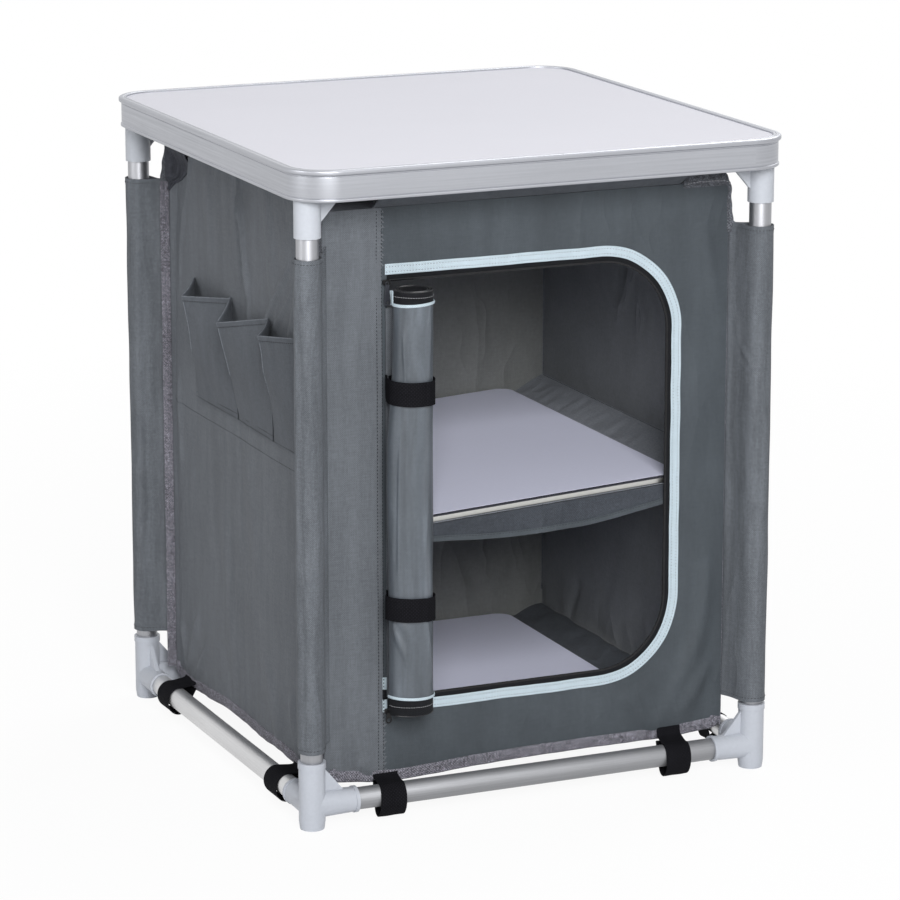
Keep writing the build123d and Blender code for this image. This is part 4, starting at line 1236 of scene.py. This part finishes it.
# ---- the rolled-up door, its straps and zip ends
# spread: how much wider the soft roll lies at each height; folds: place round the roll, height / 60, width, ridge
roll = {
    "radius": 22.5, "gap": 2.5, "turns": 3.0, "pitch": 2.6, "cloth": 1.1, "right": 2.0, "low": 138.5, "high": 581.8,
    "spread": [(119, 0.21), (160, 0.22), (430, 0.24), (470, 0.18), (505, 0.11), (560, 0.075), (600, 0.055)],
    "flat": (495, 361), "area": 176850,
    "folds": [
        ((1.9, 4.1), (2.4, 2.4), 0.12, 1.7), ((0.3, 3.8), (1.3, 2.9), 0.11, 1.7),
        ((0.75, 9.2), (0.95, 8.0), 0.075, 1.5), ((0.8, 7.2), (0.7, 4.6), 0.075, 1.6),
        ((0.95, 9.4), (1.15, 6.6), 0.09, -0.9), ((2.15, 9.4), (2.0, 8.2), 0.08, 0.9),
        ((0.55, 3.9), (1.7, 3.3), 0.10, 1.3), ((2.2, 7.2), (1.9, 5.0), 0.09, 1.0),
    ],
}
# how far each strap lies above the CAD's, how much wider, its wave's phase and height
rollStraps = {"lower": (10.0, 0.2, 0.4, 1.6), "upper": (8.8, 0.09, 1.4, 0.8)}
rollRadius = roll["radius"]
rollCentre = np.array([door["left"] + rollRadius, -body["halfY"] - roll["gap"] - rollRadius])


def onRoll(r, turn, height, rise=0.0):
    # a point of the roll: the circle from its left side on, spread to the left by the share for its height
    x, y = np.moveaxis(r[..., None] * circle(math.pi + turn), -1, 0)
    share = 1 + np.interp(height, *np.transpose(roll["spread"]))
    x = rollCentre[0] + rollRadius + roll["right"] - (rollRadius - x) * share
    return np.stack([x, rollCentre[1] + y, height + rise + 0 * x], -1)


def spiral(turn):
    # the radius falls by one pitch each turn
    return rollRadius - roll["pitch"] * turn / fullTurn


def makeRoll():
    # three turns of cloth with flats, folds and a pinch at each strap, and a flat strip back to the seam
    low, high = boxOf("door_roll")
    z0, z1 = low[2], high[2]
    z = np.linspace(z0, z1, 180)
    turn = np.concatenate(
        [np.linspace(0, fullTurn, 150)[:-1], np.linspace(fullTurn, roll["turns"] * fullTurn, 90)]
    )
    cuts = [0, np.searchsorted(z, roll["low"]), np.searchsorted(z, roll["high"]), len(z)]
    z, turn = grid(z, turn)
    around = turn % fullTurn
    flats = 0.75 * np.sin(4 * around + 0.6 * np.sin(z / 48) + 0.2) + 0.35 * ripples(around * 8, z * 0.5, 60, 71)
    pinch = sum(bell(z, middleOf("roll_strap_" + name)[2], 20.0) for name in rollStraps)
    ends = np.clip(bell(z, z0, 26.0) + bell(z, z1, 26.0), 0, 1)
    grow = flats * (1 - np.clip(pinch, 0, 1)) * (1 - 0.7 * ends) + creases(around, z / 60, roll["folds"]) - 0.45 * pinch
    r = spiral(turn) + grow * np.exp(-turn / 8) - 0.35 * ((z > 585) | (z < 137)) - 0.4
    points = onRoll(r, turn, z)
    uv = np.stack([z * mm, turn * rollRadius * 0.85 * mm], -1)
    lowTape, cloth, highTape = (
        shellShape(points[a: b + 1], -roll["cloth"], uv=uv[a: b + 1]) for a, b in zip(cuts[:-1], cuts[1:])
    )
    z, s = grid(np.linspace(131, 573, 120), np.linspace(0, 1, 14))
    n = 1.2 + 0.5 * s + 0.3 * np.sin(math.pi * s) * np.sin(z / 47.0)
    strip = shellShape(wallPlace("front", door["left"] + 0.2 + 17.0 * s, z, n), 1.1)
    strip["kind"][:] = 1
    addSheet(
        "doorRoll", [cloth, strip], ["coatedCanvas", "greyCanvas"], "door_roll", roll["flat"],
        ["rollStrap_lower", "rollStrap_upper"], "folded", roll["area"], bodyName="door",
    )
    addPiece("rollZipEnds", [lowTape, highTape], "zipTape", (), "door", "zip_tape")

    # the piping round both ends of the cloth, and its short end that stands upright beside the slider
    section = rounded([(0.1, -1.8), (0.9, -1.5), (1.2, 0), (0.9, 1.5), (0.1, 1.8)], [0.2, 0.6, 0.8, 0.6, 0.2])
    turn = np.linspace(0, fullTurn * 1.02, 110)
    out = np.column_stack([circle(math.pi + turn), 0 * turn])
    rings, rows, teeth = [], [], []
    for height in (139.3, 582.3):
        path = onRoll(spiral(turn) - 0.1, turn, height, 0.8 * np.sin(turn * 1.5 + height))
        rings.append(sweepShape(path, out, (0, 0, 1), section))
    z = np.linspace(583, 597, 12)
    left = onRoll(np.array(rollRadius + 0.2), 0.0, 590.0)
    path = np.column_stack([np.tile(left[:2], (12, 1)), z])
    rings.append(sweepShape(path, (-1, 0, 0), (0, 1, 0), section))
    addPiece("rollPiping", rings, "paleBinding", (), "door", "pale_binding")
    for height in (129.5, 590.6):
        path = onRoll(spiral(turn) - 0.55, turn, height, 0.4 * np.sin(turn * 2))
        rows.append(stitchShape(path, out, length=1.9, gap=0.9, width=0.5, lift=0.1))
    addStitches("rollStitches", rows, "paleThread", "door")
    # the zip's teeth run along both rolled edges
    turn = np.linspace(0, fullTurn * 2.4, 300)
    for height, way in ((z0 + 0.9, -1), (z1 - 0.9, 1)):
        path = onRoll(spiral(turn) - 1.2, turn, height)
        teeth.append(stitchShape(path, (0, 0, way), length=1.5, gap=0.5, width=1.5, lift=0.5, slant=70))
    addPiece("rollZipTeeth", teeth, "zipNylon", (), "door", "zip_tape", 40)


def makeRollStraps():
    # a band from the seam once round the roll and back, its tail lapped over near the right
    seam, r = door["left"] + 1.0, rollRadius + 0.9
    right = rollCentre[0] + rollRadius
    for name, (raised, spread, phase, sway) in rollStraps.items():
        low, high = boxOf("roll_strap_" + name)
        band = rollCentre + r * circle(np.radians(np.linspace(176, 500, 130)))
        band[:, 0] = right - (right - band[:, 0]) * (1 + spread)
        start = [[seam, -body["halfY"] - 1.2], rollCentre + [-r - 2.5, 12.0]]
        line = resampled(np.concatenate([start, band]), 150)
        # it stays inside the wedge that clears the wall when the roll swings out
        depth = -body["halfY"] - line[:, 1]
        line[:, 0] = np.maximum(line[:, 0], seam - np.maximum(depth - 5.8, 0) / 1.75)
        z, s = grid(np.linspace(low[2] + 0.6, high[2] - 0.6, 14) + raised, np.linspace(0, 1, 150))
        lap = 1.3 * smooth(s, 0.44, 0.455) * (1 - smooth(s, 0.52, 0.56)) + 0.25 * ripples(s * 150, z, 34, 81)
        flat = line + unit(line - rollCentre) * lap[..., None]
        points = np.concatenate([flat, (z + sway * np.sin(s * fullTurn + phase))[..., None]], -1)
        addSheet(
            "rollStrap_" + name, shellShape(points, 1.1), "blackWebbing", "roll_strap_" + name,
            (high[2] - low[2], 170), ["doorRoll"], "folded", bodyName="door", slotName="black_webbing",
        )


def patchShape(x0, x1, z0, z1, out):
    # a small flat pad on the front wall, narrower at its face
    ring = rounded([(x0, z0), (x1, z0), (x1, z1), (x0, z1)], 0.6)
    grow = np.array([1.0, 1.0, 0.93])[:, None, None]
    flat = ring.mean(0) + (ring - ring.mean(0)) * grow
    points = wallPlace("front", flat[..., 0], flat[..., 1], np.array([0.0, out - 0.3, out])[:, None])
    return capped(gridShape(points, False, True), len(ring))


def makeZipEnds():
    # the cut ends of the door's own binding and tape, folded flat beside the seam, and the sliders
    x = door["left"]
    bits = [(-4.6, 0.6, 140, 154, 1.5), (-4.6, 0.6, 114, 128.5, 1.5), (5.6, 8.4, 576, 592, 2.4)]
    pads = [patchShape(x + a, x + b, *rest) for a, b, *rest in bits]
    addPiece("bindingEnds", pads, "paleBinding", slotName="pale_binding")
    addPiece("tapeEnds", patchShape(x - 4.4, x + 0.8, 128.5, 140, 1.3), "zipTape", slotName="zip_tape")
    addFromFrame("zipSliders", "zip_sliders", "pullBlack", "root", 0.25)
    addFromFrame("zipPull_upper", "zip_pull_upper", "pullGrey", "zip_pull_upper", 0.2)
    addFromFrame("zipPull_lower", "zip_pull_lower", "pullBlack", "zip_pull_lower", 0.2)


makeRoll()
makeRollStraps()
makeZipEnds()
print("door made")


# ---- shelves and the cloth that carries them
shelf = {"width": 388.0, "corner": 20.0, "thick": 9.0, "tilt": {"middle": 3.3, "lower": 0.0}}
# the sling's section and the skirt's lower edge, seen from the front
sling = {
    "under": 330.0, "side": 363, "flatHalf": 198, "front": 5.0,
    "arc": [(-244, 319.5), (-112, 303), (-40, 299), (20, 299), (94, 304), (171, 317), (244, 333)],
}


def makeShelves():
    # a thin face over a dark core with a metal edging round it, tilted about the shelf's length
    top, width, up = shelf["thick"] / 2, shelf["width"], (0, 0, 1)
    low = top - shelf["thick"]
    outline = [(-2.4, low), (0, low), (0, top - 3.6), (-0.5, top - 3.3), (-2.4, top - 3.3)]
    section = rounded(outline, [0.2, 0.8, 0.7, 0.4, 0.2])
    for name, tilt in shelf["tilt"].items():
        boardLow, boardHigh = boxOf(name + "_shelf_board")
        depth = boardHigh[1] - boardLow[1]
        c, s = circle(math.radians(tilt))
        path, out = roundedRectangle(width, depth, shelf["corner"])
        face = slabShape(width - 0.6, depth - 0.6, shelf["corner"] - 0.3, top - 0.25, top, 0.08)
        core = slabShape(width - 5.4, depth - 5.4, shelf["corner"] - 2.7, low, top - 0.3, 0.1)
        trim = sweepShape(path, out, up, section, True)
        for part, shape, material, slotName, stands, sharp in (
            ("Face", face, "shelfLaminate", "shelf_laminate", [name + "_shelf_board"], 8),
            ("Core", core, "boardCore", "shelf_laminate", (), 8),
            ("Edging", trim, "edgingAluminium", "rim_aluminium", [name + "_shelf_edging"], 30),
        ):
            shape["points"] = shape["points"] @ [[c, 0, s], [0, 1, 0], [-s, 0, c]] + (boardLow + boardHigh) / 2
            addPiece(name + "Shelf" + part, shape, material, stands, name + "_shelf", slotName, sharp)


def makeSling():
    # the section, flat under the shelf and steep at both sides, runs from front to rear
    low, high = boxOf("shelf_sling")
    reach = body["halfX"] - 2 * body["cloth"] + 0.6
    slope = sling["flatHalf"] * math.tan(math.radians(shelf["tilt"]["middle"]))
    keys = np.array([
        (-reach, sling["side"]), (-sling["flatHalf"], sling["under"] - slope),
        (sling["flatHalf"], sling["under"] + slope), (reach, sling["side"]),
    ])
    line = np.concatenate([resampled(keys[:2], 16)[:-1], resampled(keys[1:3], 60), resampled(keys[2:], 16)[1:]])
    y, x = grid(np.linspace(low[1] + sling["front"], high[1], 110), line[:, 0])
    side = smooth(np.abs(x), 199, 208) * (1 - smooth(np.abs(x), 232, reach))
    wave = side * (0.9 * ripples(x, y, 60, 91) + 0.6 * ripples(x * 0.5, y, 24, 92))
    shape = shellShape(np.stack([x, y, line[:, 1] + wave], -1), -1.3)
    flat = (runOf(line)[-1], high[1] - low[1])
    # the sling's lighter cloth is painted light
    addSheet("shelfSling", shape, "slingCloth", "shelf_sling", flat, ["leftCloth", "rightCloth"])
    rows = []
    y = np.linspace(low[1] + 4, high[1] - 3, 60)
    for sx in (-1, 1):
        for k in (0, 5):
            path = np.column_stack([0 * y + sx * (reach - 0.9 - k * 0.8), y, 0 * y + 362.0 - k * 0.7])
            rows.append(stitchShape(path, (-sx * 0.7, 0, 0.7), width=1.1, lift=0.5))
    addStitches("slingStitches", rows)
    makeSkirt(reach, keys)


def makeSkirt(reach, keys):
    # the curved skirt below the shelf's front edge, with a folded hem
    a = np.linspace(-reach, reach, 150)
    arc = softened(np.interp(a, *np.transpose(sling["arc"])), 12)
    upper = np.interp(a, *keys.T) - 0.9
    drop = upper - arc
    a, v = grid(a, np.linspace(0, 1, 22))
    z = arc[:, None] + drop[:, None] * v
    wave = (1 - v) * 1.2 * ripples(a, z * 0.3, 75, 93) + 0.9 * np.sin(math.pi * v) * ripples(a, z * 1.5, 34, 94)
    points = wallPlace("front", a, z, -3.4 - wave - 0.6 * v)
    area, flat = 2 * reach * drop.mean(), (2 * reach, drop.max())
    # the skirt's darker cloth is painted shade under the shelf
    addSheet("shelfSkirt", shellShape(points, 1.1), "skirtCanvas", "shelf_valance", flat, ["shelfSling"], area=area)
    path, out, up = points[:, 0], (0, -1, 0), (0, 0, 1)
    fold = rounded([(-1.4, -0.7), (0.8, -0.7), (0.8, 6.0), (-1.4, 6.0)], 0.5)
    addPiece("skirtHem", sweepShape(path, out, up, fold), "panelCanvas")
    addStitches("skirtStitches", stitchShape(path + [0, -0.8, 4.6], out, width=0.6))


def makeFloorAndRoof():
    # flat sheets with wide ripples; the floor rises towards the walls
    for node, name, cloth in (
        ("fabric_floor", "floorCloth", "pocketCanvas"), ("fabric_roof", "roofCloth", "coatedLining"),
    ):
        low, high = boxOf(node)
        x, y = grid(np.linspace(low[0] - 1, high[0] + 1, 120), np.linspace(low[1] - 1, high[1] + 1, 110))
        if name == "floorCloth":
            away = np.maximum(smooth(np.abs(x), 196, high[0]), smooth(np.abs(y), 240, high[1]) * 0.3)
            z = high[2] - 0.3 + away * 14 + smooth(np.abs(x), 198, 215) * (1.3 * ripples(x, y, 70, 95) + 1.0)
        else:
            z = high[2] - 1.2 + 1.2 * ripples(x, y, 160, 96)
        shape = shellShape(np.stack([x, y, z], -1), 1.2)
        addSheet(name, shape, cloth, node, (high - low)[:2], ["leftCloth", "rightCloth"], "stretched")


makeShelves()
makeSling()
makeFloorAndRoof()
print("shelves made")


# ---- webbing loops that hold the hem down to the rails
strap = {"thick": 1.3, "out": 2.8, "hang": 6.6, "leftHang": 4.0, "leftWiden": 1.18}


def makeRailStraps():
    # a loose loop: out from the hem over the rail, round an ellipse that hangs below it, and back
    weights = np.hanning(7)[1:-1]
    for number, side in enumerate(outwards):
        ox, oy = outwards[side]
        k = 1 if ox else 0
        railOut = abs(railAt[side][1 - k]) - (body["halfX"] if ox else body["halfY"])
        for second, end in enumerate("ab"):
            name = side + "_" + end
            low, high = boxOf("rail_strap_" + name)
            half = (high[k] - low[k]) / 2 * (strap["leftWiden"] if side == "left" else 1.0)
            a0 = (low[k] + high[k]) / 2 * (ox if ox else -oy)
            seed = 101 + number * 2 + second
            at = np.array([a0])
            bulge = wallOffset(side, at, np.array([46.0]))[0]
            rise = {"front": 9.5 if a0 < 0 else 13.0, "left": 10.5 if a0 < 0 else 4.0}.get(side, 10.0)
            start = hemHeight(side, at, wallHalf(side))[0] + rise
            size = tube["radius"] + np.array([strap["out"], strap["leftHang"] if side == "left" else strap["hang"]])
            loop = [railOut, railAt[side][2] + 13.6 - size[1]] + size * circle(np.radians(np.linspace(104, -128, 46)))
            first = [[1.5 + bulge, start], [2.4 + bulge, start - 2.5], [6.0 + bulge, min(43.8, start - 3)]]
            last = [[7.0 + bulge, 25.0], [0.6 + bulge, 36.0]]
            line = resampled(np.concatenate([first, loop, last]), 96)
            for axis in (0, 1):
                padded = np.pad(line[:, axis], 2, "reflect", reflect_type="odd")
                line[:, axis] = np.convolve(padded, weights / weights.sum(), "valid")
            s, w = grid(np.linspace(0, 1, len(line)), np.linspace(-1, 1, 13))
            width = half * (1 - 0.03 * np.sin(s * math.pi * 3 + seed))
            # the loop slants a little along the rail
            skew = {"left": 3.0, "front": -6.0}.get(side, 4.0) * (np.sin(s * math.pi) - 0.35)
            n = line[:, :1] + 0.25 * (1 - w * w) * np.sin(s * 9 + seed)
            z = line[:, 1:] + 0.3 * ripples(s * 60, w * 20, 30, seed)
            addSheet(
                "railStrap_" + name, shellShape(wallPlace(side, a0 + w * width + skew, z, n), strap["thick"]),
                "blackWebbing", "rail_strap_" + name, (2 * half, runOf(line)[-1]), ["railTube_" + side], "folded",
                slotName="black_webbing",
            )


makeRailStraps()


# ---- side pockets: pleated flaps that stand out at their rear edge
# each mouth: y and z on the wall, x, y and z of the standing corner, y and z at the front; y of both low corners
pockets = {
    "rear": [(147.0, 541.0), (-275.0, 113.0, 528.0), (26.0, 539.0), (132.0, 8.0)],
    "middle": [(29.0, 540.0), (-275.0, 5.0, 517.0), (-100.0, 540.0), (4.0, -108.0)],
    "front": [(-98.0, 538.0), (-275.0, -132.0, 529.0), (-219.0, 539.0), (-112.0, -213.0)],
}
pocketLow = 401.0


def onLeftWall(y, z, out=0.0):
    # a point in front of the left wall's cloth
    return wallPlace("left", -y, z, wallOffset("left", -y, z) + out)


def pocketPoints(mouth, corner, front, lows):
    # across: wall, out along the pleat to the corner, then forward to the wall again; down: mouth to low seam
    wall = -body["halfX"]
    v = np.linspace(0, 1, 48)
    rear = onLeftWall(between(mouth[0], lows[0], v), between(mouth[1], pocketLow, v), 1.2)
    outer = onLeftWall(between(corner[1], lows[0] - 3, v**1.15), between(corner[2], pocketLow, v), 3.0)
    outer[:, 0] += (corner[0] - wall + 3.2) * (1 - v) ** 1.25
    ahead = onLeftWall(between(front[0], lows[1], v), between(front[1], pocketLow, v), 2.2)
    s, t = np.linspace(0, 1, 12), np.linspace(0, 1, 40)[1:]
    v = v[:, None]
    pleat = between(rear[:, None], outer[:, None], s[:, None])
    pleat[..., 1] -= np.sin(math.pi * s) * (1 - v) * 4.0
    face = between(outer[:, None], ahead[:, None], t[:, None])
    face[..., 0] -= np.sin(math.pi * t**0.8) * (0.5 + 2.0 * np.sin(math.pi * v))
    points = np.concatenate([pleat, face], 1)
    ripple = 0.6 * ripples(points[..., 1], points[..., 2], 55, 121)
    points[..., 0] -= ripple * smooth(v, 0.0, 0.15) * (1 - smooth(v, 0.85, 1))
    return points


def makePockets():
    # each pocket has a folded hem with thread, and a light rolled edge along the mouth and down the standing corner
    rows, edges, hemShapes = [], [], []
    ring = circle(np.linspace(0, fullTurn, 8, endpoint=False))
    fold = rounded([(-1.3, 0.5), (0.45, 0.5), (0.55, -7.0), (-1.3, -7.0)], [0.5, 0.4, 0.3, 0.3])
    for name, places in pockets.items():
        points = pocketPoints(*places)
        flat = [np.linalg.norm(np.diff(points, axis=k), axis=2).sum(k).mean() for k in (1, 0)]
        addSheet(
            "pocketCloth_" + name, shellShape(points, 1.0), "pocketCanvas", "pocket_" + name, flat, ["leftCloth"],
            "folded", sharpAngle=60,
        )
        mouth, down = points[0], unit(points[1] - points[0])
        normal = gridNormals(points)[0]
        normal = normal * -np.sign(normal[30, 0])
        hemShapes.append(sweepShape(mouth, normal, -down, fold))
        rows.append(stitchShape(mouth + down * 5.4 + normal * 0.55, normal, width=0.8, length=2.0))
        for line, size in ((resampled(mouth, 60) + [-0.3, 0, 0.2], 0.6), (resampled(points[:26, 11], 40), 0.55)):
            first = lineNormals(line, [0.3, 0.9, 0.4])
            edges.append(sweepShape(line, first, lineNormals(line, first), size * ring))
    addPiece("pocketHems", hemShapes, "pocketCanvas")
    addPiece("pocketEdges", edges, "edgeCanvas", sharpAngle=60)
    # rows of thread along the pockets' foot and across the wall below
    for start, end, count, height, out, lift in (
        (136, -215, 120, 2.0, 3.2, 0.1), (136, -215, 120, 7.0, 2.7, 0.1), (228, -228, 160, -21.0, 0.0, 0.12),
    ):
        y = np.linspace(start, end, count)
        rows.append(stitchShape(onLeftWall(y, 0 * y + pocketLow + height, out), (-1, 0, 0), lift=lift))
    addStitches("pocketStitches", rows)


makePockets()
print("straps and pockets made")


# ---- camera, floor and light
view = {"place": (-1.82696, -4.17856, 1.45812), "forward": (0.3913, 0.8891, -0.2376), "lens": 160.29, "sensor": 36.0}
# the floor's own colour, how brightly it glows near and far from the middle, and the studio's light
stage = {"floor": (0.86, 0.86, 0.87, 1), "near": (0.4, 0.93), "far": (2.2, 1.0), "size": 30.0, "light": 0.23}
# each lamp: degrees round from the front towards the right, degrees up, distance and size in metres, watts
lamps = {
    "front": {"round": -15, "up": 26, "far": 5.0, "size": 2.0, "power": 246.0},
    "left": {"round": -84, "up": 18, "far": 4.5, "size": 2.0, "power": 46.0},
    "rear": {"round": 125, "up": 48, "far": 5.0, "size": 2.5, "power": 96.0},
}
scene = bpy.context.scene


def addToScene(name, data, place=(0, 0, 0), forward=None):
    # an object at its place, looking forward
    thing = bpy.data.objects.new(name, data)
    thing.location = place
    if forward:
        thing.rotation_euler = Vector(forward).to_track_quat("-Z", "Y").to_euler()
    scene.collection.objects.link(thing)
    return thing


def emptyTree(owner):
    # the owner's node tree with nothing in it, and whether a ray comes from the camera, a gloss or a clear piece
    owner.use_nodes = True
    owner.node_tree.nodes.clear()
    n = Nodes(owner.node_tree)
    rays = [n.add("LightPath")[f"Is {kind} Ray"] for kind in ("Camera", "Glossy", "Transmission")]
    return n, n.math("MAXIMUM", rays[0], n.math("MAXIMUM", rays[1], rays[2]))


def makeStage():
    # a floor that looks white to the camera and lights the unit softly, a white studio and three lamps
    camera = bpy.data.cameras.new("photoCamera")
    camera.lens, camera.sensor_width = view["lens"], view["sensor"]
    camera.clip_start, camera.clip_end = 0.05, 100.0
    scene.camera = addToScene("photoCamera", camera, view["place"], view["forward"])
    scene.view_settings.view_transform = "Standard"

    floorMesh = bpy.data.meshes.new("floor")
    s = stage["size"]
    floorMesh.from_pydata([(-s, -s, 0), (s, -s, 0), (s, s, 0), (-s, s, 0)], [], [(0, 1, 2, 3)])
    addToScene("floor", floorMesh)
    material = bpy.data.materials.new("paleFloor")
    n, seen = emptyTree(material)
    (near, nearGlow), (far, farGlow) = stage["near"], stage["far"]
    away = n.add("VectorMath", {0: n.add("TexCoord")["Object"]}, operation="LENGTH")["Value"]
    blend = n.add("MixShader", {
        0: n.times(seen, n.ramp(away, near, far, nearGlow, farGlow)),
        1: n.add("BsdfDiffuse", {"Color": stage["floor"]})[0],
        2: n.add("Emission", {"Color": (1, 1, 1, 1)})[0],
    })
    n.add("OutputMaterial", {0: blend[0]})
    floorMesh.materials.append(material)

    scene.world = bpy.data.worlds.new("studio")
    n, seen = emptyTree(scene.world)
    strength = n.ramp(seen, 0.0, 1.0, stage["light"], 1.0)
    n.add("OutputWorld", {0: n.add("Background", {"Color": (1, 1, 1, 1), "Strength": strength})[0]})

    for name, look in lamps.items():
        lamp = bpy.data.lights.new(name, "AREA")
        lamp.size, lamp.energy = look["size"], look["power"]
        turn, rise = math.radians(look["round"]), math.radians(look["up"])
        towards = Vector((math.sin(turn) * math.cos(rise), -math.cos(turn) * math.cos(rise), math.sin(rise)))
        addToScene(name, lamp, Vector((0, 0, 0.4)) + towards * look["far"], -towards)


makeStage()
print("stage made")
